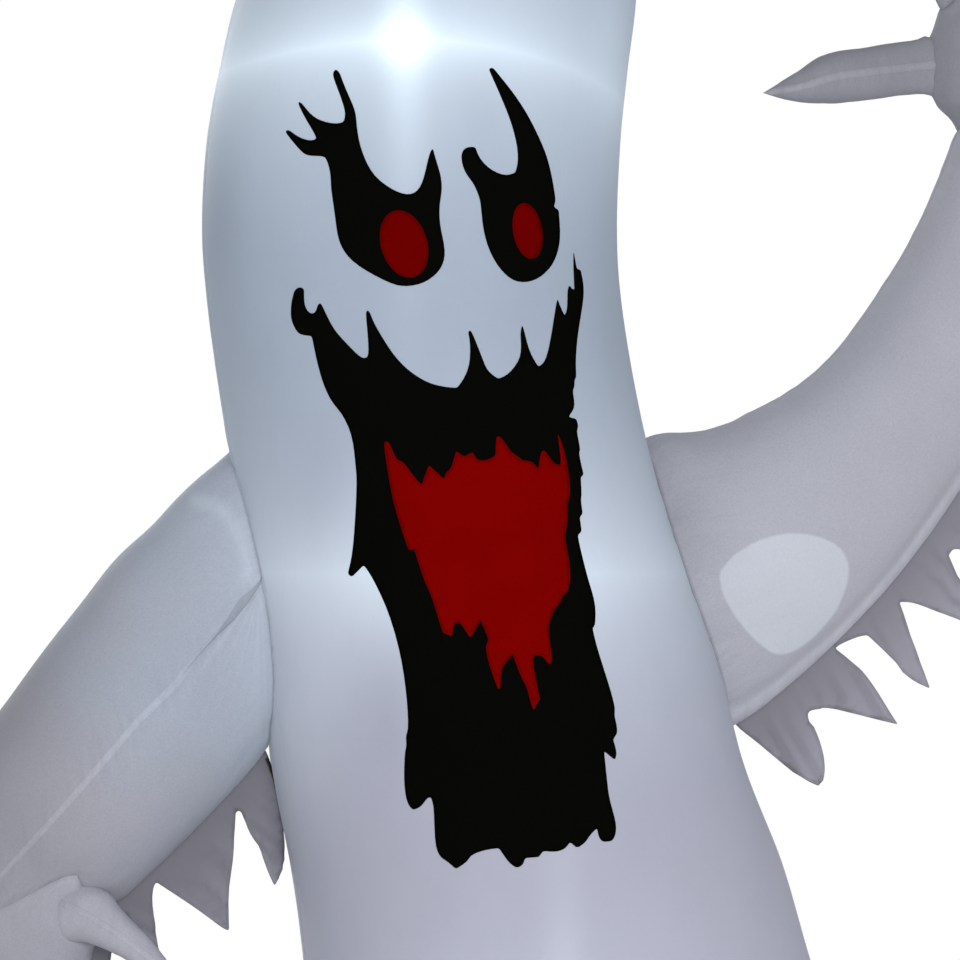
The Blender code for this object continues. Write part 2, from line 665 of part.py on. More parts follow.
def add_palm(name, limb, finish):
    """The hand's bag, open at the wrist."""
    places = [(WRIST_ROW, SEAM_GAP / 2)] + [(place, 0) for place in range(WRIST_ROW + 1, limb.end + 1)]
    grids = [[limb.ring(place, LIMB_FACETS, offset, push) for place, push in places]
             for offset in (0, -FABRIC)]
    return add_shell(name, grids[0], grids[1], True, finish)


def add_hand(palm_name, limb, fingers, limb_tool, finish):
    """A palm with its pointed fingers, which open into it."""
    palm = add_palm(palm_name, limb, finish)
    for name, table in fingers:
        finger = Limb(table, limb.side)
        grids = [[finger.ring(place, FINGER_FACETS, offset) for place in range(finger.end + 1)]
                 for offset in (0, -FABRIC)]
        boolean(add_shell(name, grids[0], grids[1], True, finish), limb_tool)
        boolean(palm, add_limb_tool(name + "_air_hole", finger, FINGER_FACETS, -FINGER_SEAM))


def add_fringe(name, pixels, limb, tools, finish):
    """A ragged single cloth that hangs from the arm's lower seam and waves more the lower it hangs."""
    outline = [tuple(seen(column, row, ARM_SET_BACK).xz) for column, row in pixels]
    low_x, low_z = (min(point[axis] for point in outline) for axis in (0, 1))
    high_x, high_z = (max(point[axis] for point in outline) for axis in (0, 1))
    inside = []
    for column in range(1, int((high_x - low_x) / FRINGE_STEP) + 1):
        for row in range(1, int((high_z - low_z) / FRINGE_STEP) + 1):
            x = low_x + column * FRINGE_STEP
            z = low_z + row * FRINGE_STEP
            if inside_outline(outline, x, z):
                inside.append((x, z))
    places = [probe / FRINGE_PROBES for probe in range(FRINGE_PROBES * limb.end)]
    middles = [limb.middle(place) for place in places]
    widths = [curve_value(limb.rows, place)[3] for place in places]

    def lift(point):
        distances = [math.hypot(point.x - middle.x, point.y - middle.z) for middle in middles]
        nearest = distances.index(min(distances))
        drop = max(distances[nearest] - widths[nearest], 0)
        along = sum((b - a).length for a, b in zip(middles[:nearest], middles[1:nearest + 1]))
        swing = min(drop / FRINGE_DROP, 1)
        y = ARM_SET_BACK + FRINGE_WAVE * swing * math.sin(2 * math.pi * along / FRINGE_WAVE_LENGTH)
        return (Vector((point.x, y - FABRIC / 2, point.y)), Vector((point.x, y + FABRIC / 2, point.y)))

    fringe = add_plate(name, [outline], lift, finish, inside)
    for tool in tools:
        boolean(fringe, tool)


def add_patch(name, pixels, low, high, finish):
    """A flat patch sewn on the front: a thin layer of the skin inside the outline's sight lines."""
    heights = sorted({*skirt_heights()[-FACE_SKIRT_ROWS:], *chest_heights(),
                      *head_heights()[:FACE_HEAD_ROWS]})
    turns = half_turns(False)[FACE_FIRST_FACET:-FACE_FIRST_FACET]
    grids = [[[skin(height, turn, offset) + half_shift(False) for turn in turns]
              for height in heights] for offset in (high, low)]
    layer = add_shell(name, grids[0], grids[1], False, finish)
    rows = [[seen(column, row, y) for column, row in pixels] for y in (-FACE_REACH, 0)]
    return boolean(layer, as_tool(add_solid(name + "_outline", rows)), "INTERSECT")


def ellipse_pixels(column, row, half_width, half_height, tilt):
    """Pixels round a leaning ellipse."""
    lean = math.radians(tilt)
    points = []
    for x, y in circle_points(1, PUPIL_POINTS):
        x *= half_width
        y *= half_height
        points.append((column + x * math.cos(lean) - y * math.sin(lean),
                       row + x * math.sin(lean) + y * math.cos(lean)))
    return points


def add_face(black, red):
    """Black eyes and mouth, with red pupils and throat on top."""
    low = SEAT_GAP
    high = SEAT_GAP + FACE_CLOTH
    for name, pixels in (("left_eye_patch", LEFT_EYE), ("right_eye_patch", RIGHT_EYE),
                         ("mouth_patch", MOUTH)):
        add_patch(name, pixels, low, high, black)
    low = high + SEAT_GAP
    high = low + FACE_CLOTH
    for name, pixels in (("left_pupil", ellipse_pixels(*LEFT_PUPIL)),
                         ("right_pupil", ellipse_pixels(*RIGHT_PUPIL)), ("throat_patch", THROAT)):
        add_patch(name, pixels, low, high, red)


def rectangle(x_low, x_high, y_low, y_high):
    """Corners of a rectangle."""
    return [(x_low, y_low), (x_high, y_low), (x_high, y_high), (x_low, y_high)]


def add_box(name, low, high, finish=None):
    """A box between two corners."""
    outline = rectangle(low[0], high[0], low[1], high[1])
    return add_plate(name, [outline], flat_lift(low[2], high[2]), finish)


def strap_outline(eye_radius, low, high, length, direction):
    """A strip that ends in a round eye at the origin; low and high bound the strip's thickness."""
    start = math.asin(low / eye_radius)
    end = math.asin(high / eye_radius)
    arc = circle_points(eye_radius, SMALL_FACETS, start=end, turn=2 * math.pi + start - end)
    points = arc + [(length, low), (length, high)]
    return [(direction * x, y) for x, y in points]


def add_zipper(skirt_back, tape_finish, metal):
    """A closed zipper with its slider at the bottom and a pull that hangs from it."""
    frame = facet_frame(True, MIDDLE_FACET, HEM_HEIGHT, BODY_HEIGHT * SKIRT_ROW_SHARES[0])
    facet_length = (BODY_HEIGHT * SKIRT_ROW_SHARES[0] - HEM_HEIGHT) / frame.col[1].z
    origin = frame @ Vector((0, ZIP_START - facet_length / 2, 0))
    frame = frame.copy()
    frame.translation = origin

    half_slot = ZIP_SLOT_WIDTH / 2
    slot = as_tool(add_box("zip_slot", (-half_slot, 0, -CUT_OVERRUN), (half_slot, ZIP_LENGTH, CUT_OVERRUN)))
    slot.matrix_world = frame
    boolean(skirt_back, slot)

    tape_top = SEAT_GAP + ZIP_TAPE_THICKNESS
    half_tape = ZIP_TAPE_WIDTH / 2
    tape = add_box("zip_tape", (-half_tape, -ZIP_TAPE_END, SEAT_GAP),
                   (half_tape, ZIP_LENGTH + ZIP_TAPE_END, tape_top), tape_finish)
    tape.matrix_world = frame
    chain_low = tape_top + SEAT_GAP
    chain_top = chain_low + ZIP_CHAIN_HEIGHT
    half_chain = ZIP_CHAIN_WIDTH / 2
    chain = add_box("zip_chain", (-half_chain, 0, chain_low),
                    (half_chain, ZIP_LENGTH, chain_top), tape_finish)
    chain.matrix_world = frame

    half_slider = SLIDER_WIDTH / 2
    roof_low = chain_top + SLIDER_GAP
    roof_top = roof_low + SLIDER_ROOF
    groove = half_chain + SLIDER_GAP
    outline = [(-half_slider, chain_low), (-groove, chain_low), (-groove, roof_low), (groove, roof_low),
               (groove, chain_low), (half_slider, chain_low), (half_slider, roof_top),
               (-half_slider, roof_top)]
    slider = add_plate("zip_slider", [outline], flat_lift(0, SLIDER_LENGTH), metal)
    pin_height = PULL_EYE_RADIUS + SLIDER_GAP
    turned = frame_matrix(frame @ Vector((0, SLIDER_START + SLIDER_LENGTH, 0)), frame.col[0].xyz,
                          frame.col[2].xyz, -frame.col[1].xyz)
    slider.matrix_world = turned
    middle = SLIDER_LENGTH / 2
    for side in (-1, 1):
        near = side * EAR_SPAN / 2
        far = side * (EAR_SPAN / 2 + EAR_THICKNESS)
        ear = as_tool(add_box("slider_ear", (min(near, far), roof_top - SLIDER_GAP, middle - EAR_LENGTH / 2),
                              (max(near, far), roof_top + pin_height + PIN_RADIUS + SLIDER_GAP,
                               middle + EAR_LENGTH / 2)))
        ear.matrix_world = turned
        boolean(slider, ear, "UNION")
    pin_frame = frame_matrix(turned @ Vector((0, roof_top + pin_height, middle)), frame.col[1].xyz,
                             frame.col[2].xyz, frame.col[0].xyz)
    reach = EAR_SPAN / 2 + EAR_THICKNESS / 2
    pin = as_tool(add_turned("slider_pin", [(0, -reach), (PIN_RADIUS, -reach), (PIN_RADIUS, reach),
                                            (0, reach)], SMALL_FACETS, None))
    pin.matrix_world = pin_frame
    boolean(slider, pin, "UNION")

    half_pull = PULL_THICKNESS / 2
    outline = strap_outline(PULL_EYE_RADIUS, -half_pull, half_pull, PULL_LENGTH, -1)
    eye = circle_points(PIN_RADIUS + PULL_PIN_GAP, SMALL_FACETS)
    pull = add_plate("zip_pull", [outline, eye], flat_lift(-PULL_WIDTH / 2, PULL_WIDTH / 2), metal)
    pull.matrix_world = pin_frame


def blower_frame():
    """The blower's axis leaves the skirt here, pointing along +Y."""
    centre, radius = section(BLOWER_HEIGHT)
    depth = BODY_DEPTH_SHARE * math.sqrt(radius ** 2 - (BLOWER_X - centre) ** 2)
    return frame_matrix(Vector((BLOWER_X, depth, BLOWER_HEIGHT)), ACROSS, -UP, -FRONT)


def sector(low, high, start, turn, count):
    """A slot between two radii."""
    return (circle_points(low, count, start=start, turn=turn)
            + circle_points(high, count, start=start + turn, turn=-turn))


def add_rotor(shaft_low, impeller_low, finish, metal):
    """The impeller, its twisted blades and its shaft."""
    bore = SHAFT_RADIUS + SEAT_GAP
    top = impeller_low + IMPELLER_LENGTH
    impeller = add_turned("impeller", [(bore, impeller_low), (IMPELLER_HUB, impeller_low),
                                       (IMPELLER_HUB, top), (bore, top)], ROUND_FACETS, finish, True)
    blades = []
    for blade in range(BLADE_COUNT):
        sides = []
        for side in (-1, 1):
            grid = []
            for level in range(BLADE_LEVELS):
                share = level / (BLADE_LEVELS - 1)
                height = impeller_low + BLADE_INSET + share * (IMPELLER_LENGTH - 2 * BLADE_INSET)
                turn = 2 * math.pi * blade / BLADE_COUNT + BLADE_TWIST * share
                line = []
                for radius in ((bore + IMPELLER_HUB) / 2, IMPELLER_RADIUS):
                    edge = turn + side * BLADE_THICKNESS / 2 / radius
                    line.append(Vector((radius * math.cos(edge), radius * math.sin(edge), height)))
                grid.append(line)
            sides.append(grid)
        tool = as_tool(add_shell("blade_%d" % (blade + 1), sides[0], sides[1], False, None))
        boolean(impeller, tool, "UNION")
        blades.append(tool)
    shaft = add_turned("motor_shaft", [(0, shaft_low), (SHAFT_RADIUS, shaft_low), (SHAFT_RADIUS, top),
                                       (0, top)], SMALL_FACETS, metal)
    return [impeller, shaft, *blades]


def add_blower(skirt_back, body_tool, plastic, dark, metal, cloth, webbing):
    """The fan in its duct, sewn into the skirt with a collar and held off the ground by a stand."""
    frame = blower_frame()
    inner = DUCT_RADIUS - DUCT_WALL
    face = DUCT_OUTSIDE
    duct = add_turned("blower_duct", [
        (DUCT_RADIUS, -DUCT_INSIDE), (DUCT_RADIUS, face - FLANGE_THICKNESS),
        (FLANGE_RADIUS, face - FLANGE_THICKNESS), (FLANGE_RADIUS, face), (inner, face),
        (inner, -DUCT_INSIDE)], ROUND_FACETS, plastic, True)

    slots = []
    for low_share, high_share in GRILLE_RING_SHARES:
        for slot in range(GRILLE_SLOTS):
            start = 2 * math.pi * slot / GRILLE_SLOTS
            slots.append(sector(GRILLE_RADIUS * low_share, GRILLE_RADIUS * high_share, start,
                                2 * math.pi / GRILLE_SLOTS * (1 - STRUT_TURN_SHARE), GRILLE_ARC_POINTS))
    grille = add_plate("intake_grille", [circle_points(GRILLE_RADIUS, ROUND_FACETS)] + slots,
                       flat_lift(face + SEAT_GAP, face + SEAT_GAP + GRILLE_THICKNESS), dark)

    guard_radius = inner - SEAT_GAP
    guard_low = GUARD_INSET - DUCT_INSIDE
    guard_top = guard_low + GUARD_THICKNESS
    slots = []
    for slot in range(GUARD_STRUTS):
        start = 2 * math.pi * slot / GUARD_STRUTS
        slots.append(sector(guard_radius * GUARD_HUB_SHARE, guard_radius * GUARD_RIM_SHARE, start,
                            2 * math.pi / GUARD_STRUTS * (1 - STRUT_TURN_SHARE), GUARD_ARC_POINTS))
    guard = add_plate("outlet_guard", [circle_points(guard_radius, ROUND_FACETS)] + slots,
                      flat_lift(guard_low, guard_top), plastic)

    motor_low = guard_top + SEAT_GAP
    motor_top = motor_low + MOTOR_LENGTH
    bore = SHAFT_RADIUS + SEAT_GAP
    bore_low = motor_top - MOTOR_BORE_DEPTH
    motor = add_turned("motor", [(0, motor_low), (MOTOR_RADIUS, motor_low), (MOTOR_RADIUS, motor_top),
                                 (bore, motor_top), (bore, bore_low), (0, bore_low)],
                       ROUND_FACETS, metal)
    rotor = add_rotor(bore_low + SEAT_GAP, motor_top + IMPELLER_CLEARANCE, dark, metal)

    sleeve = DUCT_RADIUS + SEAT_GAP
    collar = add_turned("blower_collar", [
        (sleeve, -COLLAR_OUTSIDE), (sleeve + COLLAR_THICKNESS, -COLLAR_OUTSIDE),
        (sleeve + COLLAR_THICKNESS, COLLAR_OUTSIDE), (sleeve, COLLAR_OUTSIDE)],
        ROUND_FACETS, cloth, True)
    strap_low = sleeve + COLLAR_THICKNESS + SEAT_GAP
    strap = add_turned("collar_strap", [
        (strap_low, STRAP_PLACE), (strap_low + STRAP_THICKNESS, STRAP_PLACE),
        (strap_low + STRAP_THICKNESS, STRAP_PLACE + STRAP_WIDTH), (strap_low, STRAP_PLACE + STRAP_WIDTH)],
        ROUND_FACETS, webbing, True)

    foot = DUCT_RADIUS * STAND_RISE_SHARE
    stand = add_box("blower_stand", (-STAND_WIDTH / 2, foot, STAND_PLACE),
                    (STAND_WIDTH / 2, BLOWER_HEIGHT, STAND_PLACE + STAND_DEPTH), plastic)
    saddle = as_tool(add_turned("saddle_tool", [(0, -CUT_OVERRUN), (sleeve, -CUT_OVERRUN),
                                                (sleeve, DUCT_OUTSIDE), (0, DUCT_OUTSIDE)],
                                ROUND_FACETS, None))
    boolean(stand, saddle)

    place = (GRILLE_RADIUS + FLANGE_RADIUS) / 2
    base = face + SEAT_GAP
    gland = add_turned("cord_gland", [
        (GLAND_BORE, base), (GLAND_RADIUS, base), (GLAND_RADIUS, base + GLAND_LENGTH * GLAND_COLLAR_SHARE),
        ((GLAND_RADIUS + GLAND_BORE) / 2, base + GLAND_LENGTH), (GLAND_BORE, base + GLAND_LENGTH)],
        SMALL_FACETS, dark, True)

    port = as_tool(add_turned("port_tool", [(0, -DUCT_INSIDE), (sleeve, -DUCT_INSIDE),
                                            (sleeve, DUCT_OUTSIDE), (0, DUCT_OUTSIDE)],
                              ROUND_FACETS, None))
    boolean(skirt_back, port)
    boolean(collar, body_tool)
    axis = bpy.data.objects.new("blower_axis", None)
    bpy.context.scene.collection.objects.link(axis)
    axis.matrix_world = frame
    for thing in (duct, grille, guard, motor, *rotor, collar, strap, stand, saddle, gland, port):
        thing.parent = axis
    gland.location = (place * math.cos(GLAND_TURN), place * math.sin(GLAND_TURN), 0)


def add_round_wire(name, points, radius, finish, cyclic):
    """A round wire or cable along a smooth line of points."""
    line = bpy.data.curves.new(name, "CURVE")
    line.dimensions = "3D"
    line.bevel_depth = radius
    line.bevel_resolution = WIRE_ROUNDING
    line.use_fill_caps = True
    spline = line.splines.new("POLY")
    spline.points.add(len(points) - 1)
    for slot, point in zip(spline.points, points):
        slot.co = (*point, 1)
    spline.use_cyclic_u = cyclic
    line.materials.append(finish)
    thing = bpy.data.objects.new(name, line)
    bpy.context.scene.collection.objects.link(thing)
    return thing


def add_lamps(plastic, clear, jacket):
    """Three lamps on the inside of the back, wired one to the next from the blower."""
    spans = ((SKIRT_ROW_SHARES[0], SKIRT_ROW_SHARES[1]), (CHEST_ROW_SHARES[0], CHEST_ROW_SHARES[1]),
             (HEAD_ROW_SHARES[3], HEAD_ROW_SHARES[4]))
    blower = blower_frame()
    start = blower @ Vector((0, 0, GUARD_INSET - DUCT_INSIDE - SEAT_GAP))
    leave = -blower.col[2].xyz
    middle = SEAT_GAP + HOUSING_DEPTH / 2
    for number, (low, high) in enumerate(spans, 1):
        frame = facet_frame(True, MIDDLE_FACET, BODY_HEIGHT * low, BODY_HEIGHT * high, -1)
        half_width = HOUSING_WIDTH / 2
        half_length = HOUSING_LENGTH / 2
        top = SEAT_GAP + HOUSING_DEPTH
        housing = add_box("lamp_housing_%d" % number, (-half_width, -half_length, SEAT_GAP),
                          (half_width, half_length, top), plastic)
        housing.matrix_world = frame
        edge = housing.modifiers.new("edge", "BEVEL")
        edge.width = HOUSING_EDGE
        edge.segments = EDGE_STEPS
        lens_low = top + SEAT_GAP
        dome = [(LENS_RADIUS * math.cos(math.pi / 2 * step / LENS_STEPS),
                 lens_low + LENS_HEIGHT * (1 + math.sin(math.pi / 2 * step / LENS_STEPS)) / 2)
                for step in range(LENS_STEPS)]
        lens = add_turned("lamp_lens_%d" % number,
                          [(0, lens_low), (LENS_RADIUS, lens_low), *dome, (0, lens_low + LENS_HEIGHT)],
                          SMALL_FACETS, clear)
        lens.matrix_world = frame
        end = frame @ Vector((0, -half_length - SEAT_GAP, middle))
        arrive = -frame.col[1].xyz
        inward = frame.col[2].xyz
        route = [start, start + leave * CABLE_LEAD, start + leave * (2 * CABLE_LEAD) + inward * CABLE_LEAN,
                 start.lerp(end, 0.5) + inward * CABLE_STAND_OFF,
                 end + arrive * (2 * CABLE_LEAD) + inward * CABLE_LEAN, end + arrive * CABLE_LEAD, end]
        last = len(route) - 1
        line = [Vector(curve_value(route, last * step / (CABLE_POINTS - 1))) for step in range(CABLE_POINTS)]
        add_round_wire("lamp_cable_%d" % number, line, CABLE_RADIUS, jacket, False)
        start = frame @ Vector((0, half_length + SEAT_GAP, middle))
        leave = frame.col[1].xyz


def add_tethers(webbing, metal):
    """A webbing tab with a ring on each side of the upper back."""
    eye_radius = RING_WIRE + RING_PLAY + TAB_LOOP_WALL
    for name, facet in (("right", SIDE_FACETS[0]), ("left", SIDE_FACETS[1])):
        frame = facet_frame(True, facet, BODY_HEIGHT * UPPER_SEAM_SHARE, BODY_HEIGHT * HEAD_ROW_SHARES[0])
        hinge = frame @ Vector((0, 0, SEAT_GAP + eye_radius))
        outline = strap_outline(eye_radius, -eye_radius, TAB_THICKNESS - eye_radius, TAB_LENGTH, 1)
        bore = circle_points(RING_WIRE + RING_PLAY, SMALL_FACETS)
        tab = add_plate("tether_tab_" + name, [outline, bore], flat_lift(-TAB_WIDTH / 2, TAB_WIDTH / 2),
                        webbing)
        tab.matrix_world = frame_matrix(hinge, frame.col[1].xyz, frame.col[2].xyz, frame.col[0].xyz)
        half = RING_WIDTH / 2
        points = [(-half, 0, 0), (0, 0, 0), (half, 0, 0)]
        for x, y in circle_points(1, RING_POINTS, start=0, turn=-math.pi)[1:-1]:
            points.append((half * x, RING_DROP * y, 0))
        ring = add_round_wire("d_ring_" + name, points, RING_WIRE, metal, True)
        ring.matrix_world = frame_matrix(hinge, frame.col[0].xyz, frame.col[1].xyz, frame.col[2].xyz)


def add_stake_tabs(webbing):
    """Four tabs on the ground with a hole for a stake."""
    bottom = BASE_CLOTH + SEAT_GAP
    names = (("stake_tab_front_left", False, 0), ("stake_tab_front_right", False, 1),
             ("stake_tab_back_right", True, 0), ("stake_tab_back_left", True, 1))
    half = STAKE_TAB_WIDTH / 2
    for name, back, choice in names:
        facet = SIDE_FACETS[choice]
        turns = half_turns(back)[facet:facet + 2]
        a, b = (skin(bottom, turn) + half_shift(back) for turn in turns)
        across = Vector((b.x - a.x, b.y - a.y, 0)).normalized()
        outward = across.cross(UP)
        middle = Vector(((a.x + b.x) / 2, (a.y + b.y) / 2, 0)) + outward * SEAT_GAP
        centre = (STAKE_TAB_LENGTH - half, 0)
        outline = [(0, -half)] + circle_points(half, SMALL_FACETS, centre, -math.pi / 2, math.pi)
        outline.append((0, half))
        hole = circle_points(STAKE_HOLE_RADIUS, SMALL_FACETS, centre)
        tab = add_plate(name, [outline, hole], flat_lift(0, STAKE_TAB_THICKNESS), webbing)
        tab.matrix_world = frame_matrix(middle, outward, across, UP if outward.cross(across).z > 0 else -UP)


def build():
    for thing in list(bpy.data.objects):
        bpy.data.objects.remove(thing)
    skin_cloth = part_material("white_skin", (0.80, 0.83, 0.88), 0.75)
    arm_cloth = part_material("arm_skin", (0.70, 0.70, 0.76), 0.75)
    fringe_cloth = part_material("fringe_cloth", (0.52, 0.51, 0.57), 0.8)
    black_cloth = part_material("black_cloth", (0.012, 0.012, 0.013), 0.7)
    red_cloth = part_material("red_cloth", (0.30, 0.005, 0.005), 0.7)
    base_cloth = part_material("base_cloth", (0.10, 0.10, 0.11), 0.85)
    webbing = part_material("webbing", (0.03, 0.03, 0.033), 0.8)
    plastic = part_material("housing_plastic", (0.09, 0.09, 0.095), 0.45)
    dark = part_material("dark_plastic", (0.03, 0.03, 0.03), 0.5)
    clear = part_material("lens_plastic", (0.85, 0.90, 0.95), 0.15)
    jacket = part_material("cable_jacket", (0.04, 0.04, 0.04), 0.6)
    zipper = part_material("zipper_tape", (0.55, 0.56, 0.60), 0.8)
    steel = part_material("steel", (0.55, 0.56, 0.58), 0.3, 1.0)

    panels = add_body_panels(skin_cloth)
    add_base_panel(base_cloth)
    body_tool = add_body_tool()
    cut_air_holes(panels)

    lowered = Limb(LOWERED_ARM, -1)
    raised = Limb(RAISED_ARM, 1)
    quarter = math.pi / 2
    add_arm(lowered, (("lowered_arm_upper", -quarter), ("lowered_arm_lower", quarter)), body_tool, arm_cloth)
    add_arm(raised, (("raised_arm_front", 0), ("raised_arm_back", math.pi)), body_tool, arm_cloth)
    lowered_tool = add_limb_tool("lowered_limb_tool", lowered, LIMB_FACETS, SEAT_GAP + SEAM_GAP / 2)
    raised_tool = add_limb_tool("raised_limb_tool", raised, LIMB_FACETS, SEAT_GAP + SEAM_GAP / 2)
    add_hand("lowered_palm", lowered, LOWERED_FINGERS, lowered_tool, arm_cloth)
    add_hand("raised_palm", raised, RAISED_FINGERS, raised_tool, arm_cloth)
    add_fringe("lowered_fringe", LOWERED_FRINGE, lowered, (lowered_tool, body_tool), fringe_cloth)
    add_fringe("raised_fringe", RAISED_FRINGE, raised, (raised_tool, body_tool), fringe_cloth)

    add_face(black_cloth, red_cloth)
    add_zipper(panels["body_skirt_back"], zipper, steel)
    add_blower(panels["body_skirt_back"], body_tool, plastic, dark, steel, skin_cloth, webbing)
    add_lamps(plastic, clear, jacket)
    add_tethers(webbing, steel)
    add_stake_tabs(webbing)


build()
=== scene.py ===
"""Looks of the blown-up ghost: sewn skins lit from inside, a ragged face, fringes, hands, blower and zipper.

The skins repeat the part's own curves with finer steps, and add seams, puckers, creases and stitching. Their
glow from the lamps inside, and much of the light and shade on the arms and fringes, are painted into the
cloth's colour and glow.
Places on the face and the arms are columns and rows of a square picture 960 pixels wide.
"""

import bisect
import math

import bpy
from mathutils import Matrix, Vector, noise
from mathutils.geometry import delaunay_2d_cdt


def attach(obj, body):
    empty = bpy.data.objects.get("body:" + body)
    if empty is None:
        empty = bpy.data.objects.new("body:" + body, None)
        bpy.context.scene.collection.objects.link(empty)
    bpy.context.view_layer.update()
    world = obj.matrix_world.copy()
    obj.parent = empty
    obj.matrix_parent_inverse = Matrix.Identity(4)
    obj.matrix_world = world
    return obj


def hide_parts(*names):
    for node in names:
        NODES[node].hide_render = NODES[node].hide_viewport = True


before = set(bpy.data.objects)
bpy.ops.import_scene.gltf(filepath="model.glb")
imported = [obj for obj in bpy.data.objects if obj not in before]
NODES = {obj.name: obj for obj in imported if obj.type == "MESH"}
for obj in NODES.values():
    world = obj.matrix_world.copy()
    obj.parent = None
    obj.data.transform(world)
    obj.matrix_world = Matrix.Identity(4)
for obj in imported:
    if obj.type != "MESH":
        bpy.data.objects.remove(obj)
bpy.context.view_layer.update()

# The body and the picture's scale, as in the part
SKIRT_HEIGHT = 1.535
CHEST_HEIGHT = 0.687
HEAD_HEIGHT = 1.438
BODY_HEIGHT = SKIRT_HEIGHT + CHEST_HEIGHT + HEAD_HEIGHT
HEAD_RADIUS = 0.456
BASE_RADIUS = 0.650
BODY_LEAN = 0.47
BODY_DEPTH_SHARE = 0.90
HEM_HEIGHT = 0.12
HEM_INSET = 0.035
FABRIC = 0.001
SEAT_GAP = 0.0003
BASE_CLOTH = 0.003
EYE_DISTANCE = BODY_HEIGHT * 2.459
EYE_TURN = math.radians(-12)
EYE_PIXEL = (480, 480)
BASE_PIXEL = (617, 1420)
CROWN_ROW = -230
PICTURE_WIDTH = 960
PIXEL = BODY_HEIGHT / (BASE_PIXEL[1] - CROWN_ROW)
BODY_SHARES = (
    (0.0328, 0.000, 1.000, 1.000), (0.0957, 0.064, 0.896, 1.000), (0.157, 0.127, 0.790, 1.000),
    (0.2186, 0.191, 0.687, 1.000), (0.279, 0.288, 0.554, 1.000), (0.339, 0.390, 0.456, 1.000),
    (0.399, 0.528, 0.338, 1.000), (0.462, 0.618, 0.246, 1.000), (0.508, 0.708, 0.154, 1.000),
    (0.560, 0.807, 0.064, 1.000), (0.617, 0.900, 0.018, 1.000), (0.678, 0.974, 0.000, 1.000),
    (0.721, 0.996, 0.000, 1.000), (0.770, 0.977, 0.000, 0.998), (0.814, 0.930, 0.000, 0.985),
    (0.861, 0.864, 0.000, 0.962), (0.902, 0.794, 0.000, 0.880), (0.940, 0.709, 0.000, 0.717),
    (0.970, 0.628, 0.000, 0.511), (0.989, 0.566, 0.000, 0.304), (1.000, 0.528, 0.000, 0.000))
LOWER_SEAM = SKIRT_HEIGHT
UPPER_SEAM = SKIRT_HEIGHT + CHEST_HEIGHT
HALF_FACETS = 15
MIDDLE_FACET = 7
TAB_FACETS = (3, 11)
ZIP_TOP_SHARE = 0.157
TAB_TOP_SHARE = 0.667

# Limbs: column, row, half width in pixels, depth as a share of the width, and pixels towards the viewer
ARM_SET_BACK = 0.06
WRIST_ROW = 6
LOWERED_ARM = (
    (320, 535, 128, 0.52, 0), (264, 588, 121, 0.58, 0), (207, 643, 117, 0.68, 0), (146, 710, 116, 0.76, 0),
    (90, 775, 112, 0.82, 0), (48, 825, 105, 0.82, 0), (20, 864, 94, 0.72, 0), (2, 905, 99, 0.66, 0),
    (-12, 950, 97, 0.60, 0), (-24, 990, 84, 0.50, 0), (-33, 1020, 58, 0.45, 0), (-40, 1042, 0, 0.45, 0))
RAISED_ARM = (
    (600, 625, 150, 0.50, 0), (689, 581, 150, 0.58, 0), (805, 510, 118, 0.72, 0), (889, 428, 96, 0.80, 0),
    (965, 315, 88, 0.82, 0), (1005, 220, 82, 0.80, 0), (1024, 142, 76, 0.72, 0), (1025, 95, 96, 0.62, 0),
    (1019, 50, 97, 0.58, 0), (1012, 8, 82, 0.50, 0), (1006, -22, 52, 0.45, 0), (1002, -45, 0, 0.45, 0))
LOWERED_FINGERS = (
    ("lowered_thumb", ((10, 884, 40, 0.6, 0), (55, 898, 38, 0.8, 26), (92, 917, 26, 0.9, 50),
                       (122, 937, 18, 0.9, 66), (150, 958, 12, 0.9, 76), (187, 990, 0, 0.9, 80))),
    ("lowered_finger_1", ((40, 965, 26, 0.5, 0), (68, 1018, 25, 0.8, 6), (86, 1064, 20, 0.8, 12),
                          (98, 1104, 13, 0.8, 16), (108, 1146, 0, 0.8, 18))),
    ("lowered_finger_2", ((-26, 980, 28, 0.5, 0), (-30, 1040, 27, 0.8, 4), (-34, 1096, 22, 0.8, 10),
                          (-36, 1146, 14, 0.8, 14), (-36, 1196, 0, 0.8, 16))),
    ("lowered_finger_3", ((-78, 950, 26, 0.5, 0), (-118, 998, 25, 0.8, 4), (-144, 1044, 20, 0.8, 10),
                          (-160, 1086, 13, 0.8, 14), (-172, 1128, 0, 0.8, 16))))
RAISED_FINGERS = (
    ("raised_thumb", ((975, 62, 26, 0.3, 0), (921, 67, 27, 0.45, 0), (870, 73, 27, 0.8, 6),
                      (829, 79, 25, 0.9, 10), (797, 88, 15, 0.9, 12), (763, 93, 0, 0.9, 14))),
    ("raised_finger_1", ((975, 30, 25, 0.4, 0), (950, -28, 24, 0.6, 4), (936, -78, 20, 0.8, 8),
                         (928, -122, 13, 0.8, 12), (924, -164, 0, 0.8, 14))),
    ("raised_finger_2", ((1006, 10, 27, 0.4, 0), (1006, -60, 26, 0.7, 4), (1010, -120, 21, 0.8, 8),
                         (1014, -166, 14, 0.8, 12), (1018, -212, 0, 0.8, 14))),
    ("raised_finger_3", ((1044, 30, 25, 0.4, 0), (1066, -26, 24, 0.6, 4), (1082, -74, 20, 0.8, 8),
                         (1094, -118, 13, 0.8, 12), (1104, -158, 0, 0.8, 14))))
